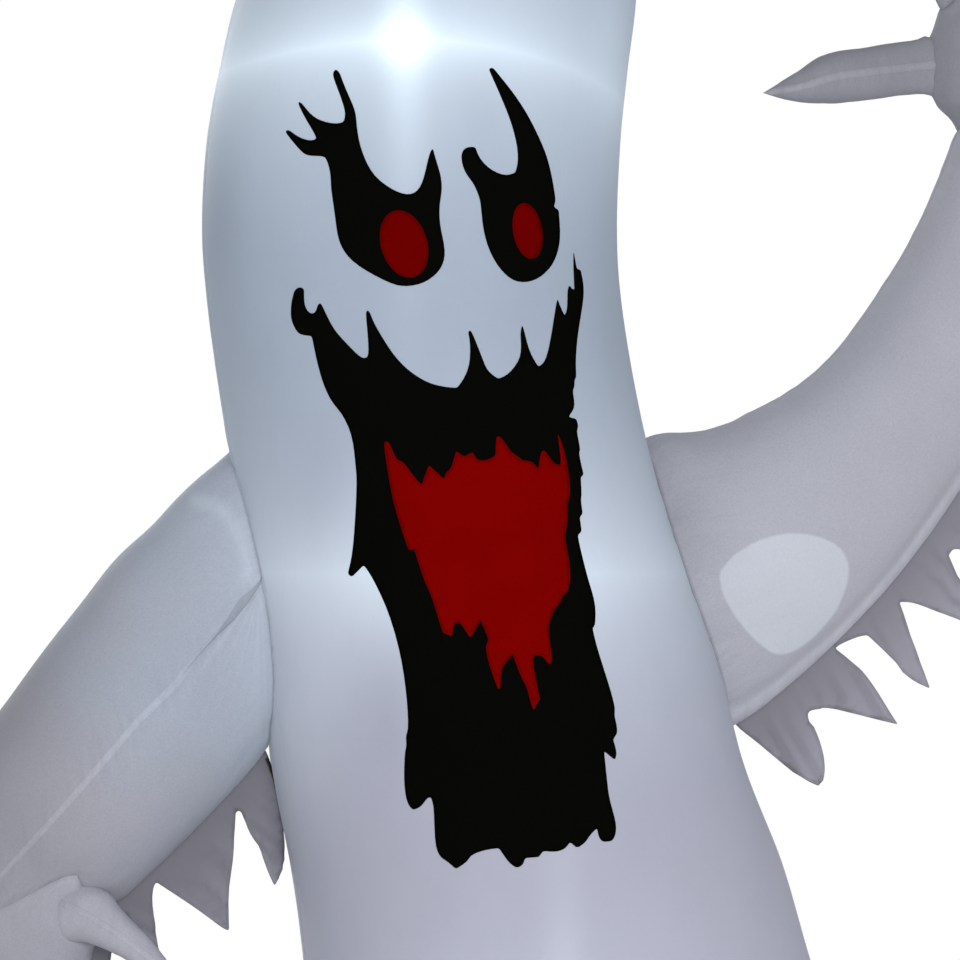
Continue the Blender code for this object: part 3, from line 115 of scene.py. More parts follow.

# Sewn lines on the arms, and painted light and shadow on the arms and fringe, in pixels
LOWERED_SEAM = (
    (-40, 918), (8, 868), (58, 814), (98, 768), (137, 722), (175, 685), (196, 658), (217, 635),
    (233, 620), (250, 600), (260, 584), (268, 560))
# Painted light: the pale fold by the lowered arm's shoulder, and the corner from which painted light on
# creases fans out
LIGHT_FOLD = ((196, 500), (218, 506), (232, 520), (241, 538), (246, 556), (248, 576))
FAN_CORNER = (260, 586)
# Painted light: the bright pool on the raised arm's front, where light from inside the body shines through
# the air hole
LIGHT_POOL = (
    (719, 572), (734, 555), (755, 542), (772, 536), (789, 533), (806, 534), (820, 537), (832, 542),
    (841, 549), (847, 558), (849, 569), (848, 581), (844, 593), (837, 610), (826, 624), (815, 636),
    (804, 645), (793, 652), (781, 655), (772, 653), (765, 648), (754, 639), (743, 627), (733, 613),
    (725, 599), (721, 587))
WRIST_LINE = (
    (-1.0, 5.5), (-0.8, 5.7), (-0.6, 5.68), (-0.42, 5.38), (-0.28, 6.05), (-0.13, 6.5), (0.0, 6.85),
    (0.4, 7.6), (1.0, 7.8))
# Painted shadow: the dark gap between the lowered fringe and the body
FRINGE_GAP_SHADOW = ((264, 760), (269, 755), (273, 762), (277, 776), (279, 796), (275, 792), (271, 775))

# Ragged fringes under the arms, outlines in pixels
LOWERED_FRINGE = (
    (262, 745), (269, 756), (277, 789), (282, 811), (286, 838), (286, 858), (281, 871), (273, 885),
    (264, 866), (259, 847), (249, 832), (243, 814), (240, 811), (236, 812), (233, 841), (231, 878),
    (228, 930), (222, 928), (196, 908), (156, 882), (153, 887), (152, 899), (154, 914), (157, 927),
    (156, 935), (159, 951), (168, 960), (158, 972), (137, 935), (125, 912), (113, 945), (110, 962),
    (104, 1012), (84, 988), (60, 960), (40, 930), (95, 880), (130, 840), (180, 795), (225, 760))
RAISED_FRINGE = (
    (715, 690), (726, 712), (737, 727), (755, 740), (786, 765), (804, 780), (818, 786), (822, 774),
    (822, 758), (818, 743), (812, 728), (807, 716), (809, 711), (817, 709), (833, 708), (863, 716),
    (895, 724), (878, 697), (861, 671), (853, 664), (835, 648), (840, 644), (856, 637), (867, 635),
    (878, 645), (912, 680), (933, 689), (921, 658), (905, 615), (900, 602), (912, 602), (939, 613),
    (960, 621), (985, 632), (970, 596), (950, 555), (955, 549), (968, 550), (1004, 564), (1040, 575),
    (1022, 530), (1000, 492), (1018, 484), (1048, 494), (1075, 500), (1060, 455), (1040, 420),
    (1058, 410), (1086, 414), (1112, 420), (1094, 372), (1075, 345), (1094, 330), (1118, 330),
    (1140, 330), (1120, 290), (1100, 262), (1118, 246), (1150, 240), (1130, 205), (1100, 168),
    (1080, 170), (1050, 250), (1010, 345), (935, 470), (860, 560), (780, 650), (735, 680))
FRINGE_WAVE = 0.022
FRINGE_WAVE_LENGTH = 0.17
FRINGE_FLUTTER = 0.006
FRINGE_DROP = 0.12
FRINGE_STEP = 6

# Face patches, outlines in pixels
LEFT_EYE = (
    (333, 73), (336, 69), (340, 73), (343, 82), (349, 96), (356, 112), (357, 129), (361, 150),
    (372, 174), (389, 188), (405, 195), (416, 193), (423, 182), (428, 159), (431, 150), (433, 149),
    (435, 157), (441, 176), (442, 190), (439, 208), (440, 226), (445, 248), (444, 263), (436, 275),
    (422, 284), (404, 287), (389, 283), (361, 268), (346, 255), (338, 239), (335, 214), (331, 187),
    (331, 174), (327, 159), (323, 156), (309, 156), (303, 153), (295, 144), (287, 134), (286, 131),
    (289, 130), (300, 138), (311, 141), (317, 139), (314, 132), (306, 119), (299, 105), (299, 102),
    (302, 103), (312, 116), (324, 122), (337, 124), (344, 122), (346, 113), (341, 97), (334, 79))
RIGHT_EYE = (
    (489, 70), (490, 68), (493, 68), (498, 74), (514, 94), (527, 114), (538, 136), (546, 155),
    (551, 175), (554, 193), (555, 201), (553, 207), (558, 210), (560, 236), (557, 254), (550, 268),
    (538, 279), (524, 283), (511, 280), (498, 267), (488, 248), (483, 228), (481, 208), (480, 199),
    (474, 184), (465, 173), (461, 160), (462, 151), (467, 147), (475, 147), (479, 158), (489, 169),
    (504, 176), (515, 173), (518, 162), (517, 145), (511, 122), (501, 97))
MOUTH = (
    (296, 289), (300, 287), (304, 289), (304, 303), (307, 311), (312, 314), (316, 312), (318, 305),
    (320, 303), (322, 305), (327, 316), (335, 331), (349, 346), (361, 358), (367, 358), (369, 353),
    (368, 335), (366, 314), (367, 310), (370, 312), (373, 321), (382, 337), (395, 357), (410, 372),
    (428, 383), (444, 387), (457, 388), (465, 377), (470, 362), (470, 342), (468, 332), (470, 330),
    (473, 335), (482, 358), (487, 371), (498, 379), (509, 374), (520, 359), (521, 345), (520, 333),
    (522, 325), (524, 332), (529, 352), (538, 367), (545, 362), (550, 342), (555, 309), (557, 299),
    (559, 305), (564, 316), (567, 310), (567, 290), (569, 285), (571, 289), (574, 290), (573, 269),
    (573, 252), (576, 269), (580, 270), (583, 285), (583, 300), (577, 335), (575, 362), (576, 377),
    (574, 380), (574, 387), (572, 391), (575, 407), (568, 417), (576, 419), (578, 427), (576, 431),
    (580, 450), (578, 453), (583, 475), (580, 477), (581, 495), (580, 500), (582, 514), (579, 517),
    (581, 532), (577, 535), (579, 546), (587, 578), (595, 603), (595, 625), (592, 628), (596, 646),
    (610, 689), (615, 708), (614, 715), (617, 727), (617, 734), (613, 739), (617, 753), (615, 760),
    (604, 751), (607, 780), (609, 798), (616, 822), (616, 834), (612, 841), (603, 842), (599, 838),
    (597, 828), (590, 835), (585, 843), (577, 848), (570, 842), (565, 849), (556, 852), (543, 851),
    (539, 857), (525, 858), (523, 865), (517, 868), (509, 863), (499, 848), (484, 850), (471, 855),
    (467, 862), (456, 869), (447, 861), (440, 857), (435, 845), (434, 806), (431, 797), (427, 798),
    (421, 807), (413, 810), (407, 803), (404, 783), (405, 752), (407, 746), (406, 736), (409, 728),
    (407, 694), (401, 654), (389, 612), (373, 578), (364, 565), (352, 577), (348, 574), (353, 553),
    (356, 510), (357, 480), (356, 468), (353, 438), (344, 416), (331, 401), (323, 383), (317, 361),
    (312, 336), (302, 335), (297, 332), (291, 320), (291, 305), (294, 292))
THROAT = (
    (385, 441), (389, 442), (392, 449), (397, 460), (403, 461), (415, 478), (422, 485), (424, 478),
    (429, 465), (434, 470), (444, 479), (446, 472), (451, 469), (454, 458), (456, 451), (464, 457),
    (472, 452), (477, 460), (485, 461), (495, 456), (496, 437), (499, 436), (505, 443), (510, 452),
    (517, 456), (522, 461), (531, 461), (538, 469), (540, 453), (543, 450), (546, 453), (551, 461),
    (556, 465), (560, 465), (560, 457), (557, 434), (561, 443), (566, 461), (569, 485), (569, 496),
    (566, 504), (567, 521), (565, 529), (564, 540), (568, 558), (570, 579), (567, 592), (562, 596),
    (559, 604), (553, 610), (547, 627), (550, 646), (552, 661), (549, 665), (543, 657), (537, 654),
    (533, 657), (533, 667), (540, 701), (537, 702), (534, 710), (532, 708), (526, 685), (522, 680),
    (512, 653), (510, 658), (501, 667), (500, 689), (498, 689), (490, 668), (485, 647), (488, 642),
    (488, 637), (480, 620), (477, 627), (470, 638), (462, 625), (458, 621), (453, 626), (452, 637),
    (447, 634), (443, 633), (441, 626), (431, 594), (424, 580), (414, 548), (410, 551), (407, 546),
    (396, 511), (391, 490), (384, 446))
LEFT_PUPIL = (404, 244, 23, 34.6, -17)
RIGHT_PUPIL = (527, 231, 14.4, 28.3, -10)
PUPIL_POINTS = 48
CORNER_PIXELS = 2.5
GENTLE_TURN = math.radians(50)
CORNER_STEPS = 3
FACE_STEP = 6
PATCH_LIFT = 0.0003
PATCH_THICKNESS = 0.0011

# Steps of the fine meshes
ROW_STEP = 0.012
HALF_COLUMNS = 120
ARM_ROWS = 120
ARM_HALF_COLUMNS = 48
HAND_ROW_STEPS = 8
FINGER_COLUMNS = 32

# Relief of the cloth
SEAM_DEPTH = 0.0022
SEAM_WIDTH = 0.005
PUCKER = 0.0016
PUCKER_REACH = 0.03
PUCKER_LENGTH = 0.035
SWELL = 0.0022
SWELL_LENGTH = 0.32
LEVEL_SEAM_SHARE = 0.1
WRIST_DEPTH = 0.011
WRIST_REACH = 0.03
ARM_CREASE = 0.003
ARM_CREASE_REACH = 0.07
ARM_SWELL = 0.004
SHOULDER_DIP = 0.004
SHOULDER_REACH = 0.02
OVERLAP_RISE = 0.003
OVERLAP_REACH = 0.03
FINGER_SWELL = 0.0035
FINGER_RIDGE = 0.003
MERGE = 0.04
FLAT_FADE = 0.05
SLIGHT = 0.02
BASE_RINGS = (0.02, 0.25, 0.5, 0.75, 0.95, 0.985, 1.0)
LEAST_FILL = 0.301

# Rises and dips of each arm's upper edge: height, place along the arm and width
UPPER_BUMPS = {
    -1: ((0.014, 2.0, 0.5), (-0.010, 0.3, 0.3), (0.006, 1.1, 0.4), (0.001, 3.1, 0.6), (-0.006, 4.0, 0.8)),
    1: ((0.012, 1.3, 0.2), (-0.009, 1.75, 0.3))}

# Steps and bounds of the searches along the body and the arms
TABLE_STEPS = 40
PLACE_PROBE = 0.02
LIMB_SAMPLES = 3
FACE_TRIES = 12
START_TURNS = 120
START_RANGE = (-0.6, 3.0)
START_TRIES = 20
SEAM_RANGE = (math.radians(20), math.radians(170))
SEAM_TRIES = 14
ARM_HEIGHTS = (1.3, 2.6)
LINE_REACH = 0.05

# What a point of the cloth is told: its depth inside a patch of painted light or shadow, its distance from
# the body, and its share of a painted strip highlight
FAR_AWAY = 9
NO_MARK = (-1, FAR_AWAY, 0)
FINGER_MARK = (-1, FAR_AWAY, 1)
NO_FOLD = (FAR_AWAY, 0, 0)
NO_SEAM = 960
# The painted light on creases that fan from the fold's corner: reach, and share above the seam
FAN_REACH = 0.13
FAN_ABOVE_SEAM = 0.15
# The painted shadow of the fold beside the lowered arm's seam: width, place along the arm, reach and cut
CRESCENT_WIDTH = 0.021
CRESCENT_PLACE = 0.065
CRESCENT_REACH = 0.055
CRESCENT_CUT = 0.002

# Colours of the cloths under plain light, and of the light from inside
BODY_CLOTH = (0.245, 0.285, 0.355)
BODY_CLOTH_LOW = (0.290, 0.288, 0.358)
ARM_CLOTH = (0.325, 0.327, 0.378)
ARM_GRAIN = 0.45
FRINGE_CLOTH = (0.228, 0.224, 0.261)
# Near-black colour of the painted shadow in the fringe's gap by the body
GAP_SHADOW_COLOUR = (0.035, 0.022, 0.024)
BLACK_CLOTH = (0.0020, 0.0020, 0.0016)
RED_CLOTH = (0.140, 0.0006, 0.0003)
THROAT_GLOW = (0.012, 0.0, 0.0)
PUPIL_SHARE = 0.77
GLOW = (0.80, 0.93, 1.0)
BODY_GLOW = 0.045
# Painted light on the arms: near the body the cloth is tinted lighter, and bluer on the lowered arm, as lit
# from the body; far off it keeps plain tones, and below the height at TINT_LEVEL the lowered arm's painted
# light fades sooner
NEAR_LIT_BLUE = (0.98, 1.07, 1.11)
NEAR_LIT_GREY = (1.07, 1.08, 1.065)
FAR_TONES = (1.0, 0.995, 0.98)
TINT_LEVEL = (300, 610)
# A painted shaded spot on the arms by the raised arm's root: pixel, width, height and amount
SHADE_SPOT = ((695, 525), 0.10, 0.15, -0.17)
MARK_EDGE = 0.004
# Width of the painted shade line where the arms meet the body
JOIN_SHADE_WIDTH = 0.005
# Width of the painted highlight on the lowered arm's fold
FOLD_LIGHT_WIDTH = 0.016
# Widths of the painted shade along the side and end seams
SEAM_LINE = 0.0018
END_LINE = 0.0022
STITCH_LENGTH = 0.0032
STITCH_INSET = 0.006
STITCH_WIDTH = 0.0008
TWILL_STEP = 0.0022
HEM_INSIDE = 0.004
HEM_STITCH = 0.003

# Lamps behind the body's skin: pixel, core, level band, upright streak and halo
UPPER_LAMP = ((405, 40), 1.5, 0.42, 0.31, 0.20)
MIDDLE_LAMP = ((470, 575), 0.0, 0.30, 0.04, 0.17)
LOWER_LAMP = ((565, 1010), 0.5, 0.05, 0.12, 0.075)

# Places that the lamps light a little more or less: pixel, width, height and amount
SOFT_PATCHES = (
    ((612, 65), 0.08, 0.20, 0.085), ((290, 745), 0.08, 0.22, 0.075), ((392, 705), 0.08, 0.16, -0.085),
    ((328, 480), 0.09, 0.17, -0.070), ((210, 210), 0.05, 0.16, -0.055),
    ((482, 100), 0.07, 0.10, -0.055))

# The stage: light from all round, two lamps with place, size and power, the floor, and the camera
WORLD_LIGHT = 0.52
LAMPS = (("key_lamp", (-0.7, -9.0, 3.0), 4.5, 520), ("back_lamp", (-3.0, 6.0, 5.0), 4.0, 200))
FLOOR_RADIUS = 7.5
FLOOR_FADE = (2.5, 6.0)
FLOOR_EDGES = 96
SENSOR_WIDTH = 36
FAR_CLIP = 100
LAMP_NUMBERS = (1, 2, 3)

QUARTER = math.pi / 2
UP = Vector((0, 0, 1))
FRONT = Vector((0, -1, 0))
EYE_RIGHT = Vector((math.cos(EYE_TURN), math.sin(EYE_TURN), 0))
EYE_FORWARD = Vector((-math.sin(EYE_TURN), math.cos(EYE_TURN), 0))


def picture_point(column, row):
    """The point behind a pixel, on the upright plane through the base that faces the eye."""
    return EYE_RIGHT * ((column - BASE_PIXEL[0]) * PIXEL) + UP * ((BASE_PIXEL[1] - row) * PIXEL)


EYE = picture_point(*EYE_PIXEL) - EYE_FORWARD * EYE_DISTANCE


def seen(column, row, y=0):
    """Where the sight line through a pixel meets the upright plane at y."""
    target = picture_point(column, row)
    return EYE.lerp(target, (y - EYE.y) / (target.y - EYE.y))


def pixel_of(point):
    """The column and row where the eye sees a point."""
    away = point - EYE
    scale = EYE_DISTANCE / (away.dot(EYE_FORWARD) * PIXEL)
    return EYE_PIXEL[0] + away.dot(EYE_RIGHT) * scale, EYE_PIXEL[1] - away.z * scale


def read_line(line, x):
    """The second number of a line of pairs, read straight between them."""
    after = min(max(bisect.bisect([pair[0] for pair in line], x), 1), len(line) - 1)
    (a, low), (b, high) = line[after - 1:after + 1]
    return low + (high - low) * (x - a) / (b - a)


def curve_value(points, place):
    """A smooth curve through rows of numbers, read at a place counted in rows."""
    first = max(min(int(place), len(points) - 2), 0)
    share = place - first
    before = points[max(first - 1, 0)]
    start = points[first]
    end = points[first + 1]
    after = points[min(first + 2, len(points) - 1)]
    return [0.5 * (2 * b + (c - a) * share + (2 * a - 5 * b + 4 * c - d) * share ** 2
                   + (3 * b - a - 3 * c + d) * share ** 3)
            for a, b, c, d in zip(before, start, end, after)]


def frame_matrix(origin, x_axis, y_axis, z_axis):
    """A place and three directions as a matrix."""
    matrix = Matrix((x_axis, y_axis, z_axis)).transposed().to_4x4()
    matrix.translation = origin
    return matrix


def bell(distance, width):
    """A smooth bump that is one at no distance."""
    return math.exp(-(distance / width) ** 2)


def fade(low, high, value):
    """Rises smoothly from nought to one between two values."""
    share = min(max((value - low) / (high - low), 0), 1)
    return share * share * (3 - 2 * share)


def body_row(place):
    """Height, centre along X and radius of the body at a place in rows; under nought the hem curls."""
    height, lean, flare, fullness = curve_value(BODY_SHARES, max(place, 0))
    height *= BODY_HEIGHT
    radius = fullness * (HEAD_RADIUS + flare * (BASE_RADIUS - HEAD_RADIUS))
    if place < 0:
        share = min(-place, 1)
        height *= 1 - share
        radius -= HEM_INSET * (1 - math.sqrt(1 - share ** 2))
    return height, -lean * BODY_LEAN, radius


PLACES = [step / TABLE_STEPS - 1 for step in range(TABLE_STEPS * len(BODY_SHARES) + 1)]
HEIGHTS = [body_row(place)[0] for place in PLACES]


def place_at(height):
    """The place on the body's rows at a height."""
    after = min(max(bisect.bisect(HEIGHTS, height), 1), len(HEIGHTS) - 1)
    low = HEIGHTS[after - 1]
    high = HEIGHTS[after]
    share = (height - low) / (high - low) if high > low else 0
    return PLACES[after - 1] + share * (PLACES[after] - PLACES[after - 1])


def skin_base(place, turn):
    """A point of the smooth skin and its normal, turn measured from the front towards +X."""
    height, centre, radius = body_row(place)
    low = body_row(max(place - PLACE_PROBE, -1))
    high = body_row(min(place + PLACE_PROBE, len(BODY_SHARES) - 1))
    sine = math.sin(turn)
    cosine = math.cos(turn)
    point = Vector((centre + radius * sine, -BODY_DEPTH_SHARE * radius * cosine, height))
    around = Vector((cosine, BODY_DEPTH_SHARE * sine, 0))
    growth = high[2] - low[2]
    upward = Vector((high[1] - low[1] + growth * sine, -BODY_DEPTH_SHARE * growth * cosine,
                     high[0] - low[0]))
    return point, around.cross(upward).normalized()


def facet_plane(facet, low, high):
    """The flat facet of the back skin that carries stiff webbing: a point, its normal and its bounds."""
    turns = [math.pi / 2 + math.pi * (facet + step) / HALF_FACETS for step in (0, 1)]
    corners = [skin_base(place_at(height), turn)[0] for height in (low, high) for turn in turns]
    across = (corners[1] - corners[0] + corners[3] - corners[2]).normalized()
    along = (corners[2] - corners[0] + corners[3] - corners[1]).normalized()
    outward = across.cross(along).normalized()
    centre = sum(corners, Vector()) / len(corners)
    lift = max((corner - centre).dot(outward) for corner in corners)
    return centre + outward * lift, outward, turns, (low, high)


FLATS = (facet_plane(MIDDLE_FACET, HEM_HEIGHT, BODY_HEIGHT * ZIP_TOP_SHARE),
         *(facet_plane(facet, UPPER_SEAM, BODY_HEIGHT * TAB_TOP_SHARE) for facet in TAB_FACETS))


class Limb:
    """An arm or a finger: round sections along a smooth middle line that the picture gives."""

    def __init__(self, table, side):
        self.side = side
        self.rows = []
        for column, row, half_width, depth, front in table:
            y = ARM_SET_BACK - front * PIXEL
            self.rows.append((*seen(column, row, y), half_width * PIXEL, depth))
        self.end = len(table) - 1
        self.samples = []
        for step in range(LIMB_SAMPLES * self.end):
            place = step / LIMB_SAMPLES
            half_width, thickness = curve_value(self.rows, place)[3:]
            self.samples.append((self.middle(place), self.axes(place)[1], max(half_width, 0.001), thickness))

    def middle(self, place):
        return Vector(curve_value(self.rows, place)[:3])

    def axes(self, place):
        """The direction along the limb and the one to its upper side."""
        ahead = self.middle(min(place + 0.5, self.end))
        forward = (ahead - self.middle(max(place - 0.5, 0))).normalized()
        return forward, Vector((-forward.z, 0, forward.x)).normalized() * self.side

    def point(self, place, turn, offset=0):
        """A point of the limb's smooth skin."""
        values = curve_value(self.rows, place)
        above = self.axes(place)[1]
        half_width = max(values[3], 0) + offset
        depth = max(values[3], 0) * values[4] + offset
        return Vector(values[:3]) + above * (half_width * math.cos(turn)) + FRONT * (depth * math.sin(turn))

    def reach(self, point, count=None):
        """How far a point lies outside the limb's first samples, and its turn round the limb."""
        middle, above, half_width, depth = min(
            self.samples[:count], key=lambda sample: (point - sample[0]).length - sample[2])
        away = point - middle
        x = away.dot(above) / half_width
        y = away.dot(FRONT) / (half_width * depth)
        share = math.hypot(x, y)
        return away.length * (1 - 1 / max(share, 0.001)), math.atan2(y, x)


LOWERED = Limb(LOWERED_ARM, -1)
RAISED = Limb(RAISED_ARM, 1)


def wrinkle(along, distance, length, reach, seed):
    """Puckers that run away from a seam and die out."""
    if distance > 4 * reach:
        return 0
    return math.exp(-distance / reach) * noise.noise(Vector((along / length, seed, distance / (6 * length))))


def body_relief(point, normal, radius, turn):
    """How far the sewn skin stands out from its smooth shape."""
    height = point.z
    level = min(abs(height - LOWER_SEAM), abs(height - UPPER_SEAM))
    side = radius * abs(math.cos(turn)) if abs(math.cos(turn)) < 0.5 else radius
    lift = SWELL * noise.noise(point / SWELL_LENGTH)
    for distance, along, share, seed in ((level, turn * radius, LEVEL_SEAM_SHARE, 3.5),
                                         (side, height, 1, 7.5)):
        lift -= SEAM_DEPTH * share * bell(distance, SEAM_WIDTH)
        lift += PUCKER * share * wrinkle(along, distance, PUCKER_LENGTH, PUCKER_REACH, seed)
    for limb, seed in ((LOWERED, 1.5), (RAISED, 5.5)):
        if limb.side * math.sin(turn) > 0.4 and ARM_HEIGHTS[0] < height < ARM_HEIGHTS[1]:
            away, angle = limb.reach(point, 2 * LIMB_SAMPLES)
            if away > 0:
                lift += ARM_CREASE * wrinkle(angle, away, 0.14, ARM_CREASE_REACH, seed)
                lift -= SEAM_DEPTH * 0.6 * bell(away, SEAM_WIDTH * 2)
    for plane_point, outward, turns, heights in FLATS:
        if turns[0] < turn < turns[1] and heights[0] - FLAT_FADE < height < heights[1] + FLAT_FADE:
            drop = (plane_point - point).dot(outward) / normal.dot(outward)
            weight = fade(heights[0] - FLAT_FADE, heights[0], height)
            weight *= 1 - fade(heights[1], heights[1] + FLAT_FADE, height)
            edge = (turns[1] - turns[0]) / 6
            inner = fade(turns[0], turns[0] + edge, turn) * (1 - fade(turns[1] - edge, turns[1], turn))
            lift = lift * (1 - inner * weight) + min(drop, 0) * weight
    return lift


def skin_point(place, turn, offset=0):
    """A point of the sewn skin, moved out along its normal."""
    point, normal = skin_base(place, turn)
    radius = body_row(place)[2]
    return point + normal * (body_relief(point, normal, radius, turn) + offset)


def face_place(column, row):
    """The place and turn on the front skin that a pixel shows."""
    y = -BODY_DEPTH_SHARE * HEAD_RADIUS
    for _ in range(FACE_TRIES):
        target = seen(column, row, y)
        place = place_at(target.z)
        _, centre, radius = body_row(place)
        sine = min(max((target.x - centre) / radius, -0.995), 0.995)
        y = -BODY_DEPTH_SHARE * radius * math.sqrt(1 - sine ** 2)
    return place, math.asin(sine)


def skin_shown(column, row):
    """The point of the front skin that a pixel shows."""
    return skin_base(*face_place(column, row))[0]


class Graph:
    """Short words for building a material's nodes."""

    def __init__(self, name, roughness=0.6, specular=0.5):
        self.material = bpy.data.materials.new(name)
        self.material.use_nodes = True
        self.tree = self.material.node_tree
        self.shader = self.tree.nodes["Principled BSDF"]
        self.shader.inputs["Roughness"].default_value = roughness
        self.shader.inputs["Specular IOR Level"].default_value = specular

    def put(self, socket, value):
        if isinstance(value, bpy.types.NodeSocket):
            self.tree.links.new(value, socket)
        elif value is not None:
            socket.default_value = value

    def node(self, kind, values=None, **settings):
        made = self.tree.nodes.new(kind)
        for key, setting in settings.items():
            setattr(made, key, setting)
        for key, value in (values or {}).items():
            self.put(made.inputs[key], value)
        return made

    def math(self, operation, first, second=None):
        made = self.node("ShaderNodeMath", operation=operation)
        self.put(made.inputs[0], first)
        self.put(made.inputs[1], second)
        return made.outputs[0]

    def total(self, *values):
        result = values[0]
        for value in values[1:]:
            result = self.math("ADD", result, value)
        return result

    def times(self, *values):
        result = values[0]
        for value in values[1:]:
            result = self.math("MULTIPLY", result, value)
        return result

    def minus(self, first, second):
        return self.math("SUBTRACT", first, second)

    def rest(self, share):
        """What is left of one."""
        return self.minus(1.0, share)

    def bell(self, distance, width):
        share = self.math("DIVIDE", distance, width)
        return self.math("EXPONENT", self.times(share, share, -1.0))

    def tent(self, distance, width):
        return self.math("EXPONENT", self.math("DIVIDE", self.math("ABSOLUTE", distance), -width))

    def band(self, value, low, high, to_low=0.0, to_high=1.0):
        made = self.node("ShaderNodeMapRange", {"Value": value, "From Min": low, "From Max": high,
                                                "To Min": to_low, "To Max": to_high},
                         interpolation_type="SMOOTHSTEP")
        return made.outputs["Result"]

    def place(self):
        return self.node("ShaderNodeTexCoord").outputs["Object"]

    def split(self, vector):
        made = self.node("ShaderNodeSeparateXYZ", {"Vector": vector})
        return made.outputs

    def attribute(self, name):
        return self.node("ShaderNodeAttribute", attribute_name=name).outputs["Vector"]

    def noise(self, vector, scale, detail=2.0, roughness=0.5):
        made = self.node("ShaderNodeTexNoise", {"Vector": vector, "Scale": scale, "Detail": detail,
                                                "Roughness": roughness})
        return made.outputs["Fac"]

    def stretched(self, vector, scales):
        return self.node("ShaderNodeVectorMath", {0: vector, 1: scales}, operation="MULTIPLY").outputs[0]

    def mix(self, share, first, second):
        made = self.node("ShaderNodeMix", data_type="RGBA")
        self.put(made.inputs["Factor"], share)
        self.put(made.inputs["A"], first)
        self.put(made.inputs["B"], second)
        return made.outputs["Result"]

    def scale_colour(self, colour, share):
        made = self.node("ShaderNodeVectorMath", operation="SCALE")
        self.put(made.inputs[0], colour if isinstance(colour, bpy.types.NodeSocket) else colour[:3])
        self.put(made.inputs["Scale"], share)
        return made.outputs[0]

    def bump(self, height, distance, strength=1.0):
        made = self.node("ShaderNodeBump", {"Height": height, "Distance": distance, "Strength": strength})
        self.put(self.shader.inputs["Normal"], made.outputs["Normal"])

    def set(self, key, value):
        self.put(self.shader.inputs[key], value)


def rgba(colour):
    """A colour with full cover."""
    return (*colour, 1.0)


def scaled(colour, share):
    """A colour made lighter or darker."""
    return [part * share for part in colour]


def lamp_glow(graph, x, z, pixel, core, band, streak, halo, spread=0.070, sag=0.0):
    """Light of one lamp on the skin: a hot core, a wide level band, an upright streak and a halo."""
    centre = skin_shown(*pixel)
    right = graph.minus(x, centre.x)
    above = graph.minus(z, centre.z)
    apart = graph.math("SQRT", graph.total(graph.times(right, right), graph.times(above, above)))
    level = graph.math("ADD", above, graph.times(right, right, sag))
    return graph.total(graph.times(graph.tent(apart, 0.020), core),
                       graph.times(graph.tent(level, spread), graph.bell(right, 0.44), band),
                       graph.times(graph.bell(right, 0.045), graph.tent(above, 0.24), streak),
                       graph.times(graph.bell(above, 0.32), graph.bell(right, 0.60), halo))


def soft_patch(graph, x, z, pixel, width, height, amount):
    """A place on the skin that the lamps light a little more or less."""
    centre = skin_shown(*pixel)
    return graph.times(graph.bell(graph.minus(x, centre.x), width),
                       graph.bell(graph.minus(z, centre.z), height), amount)


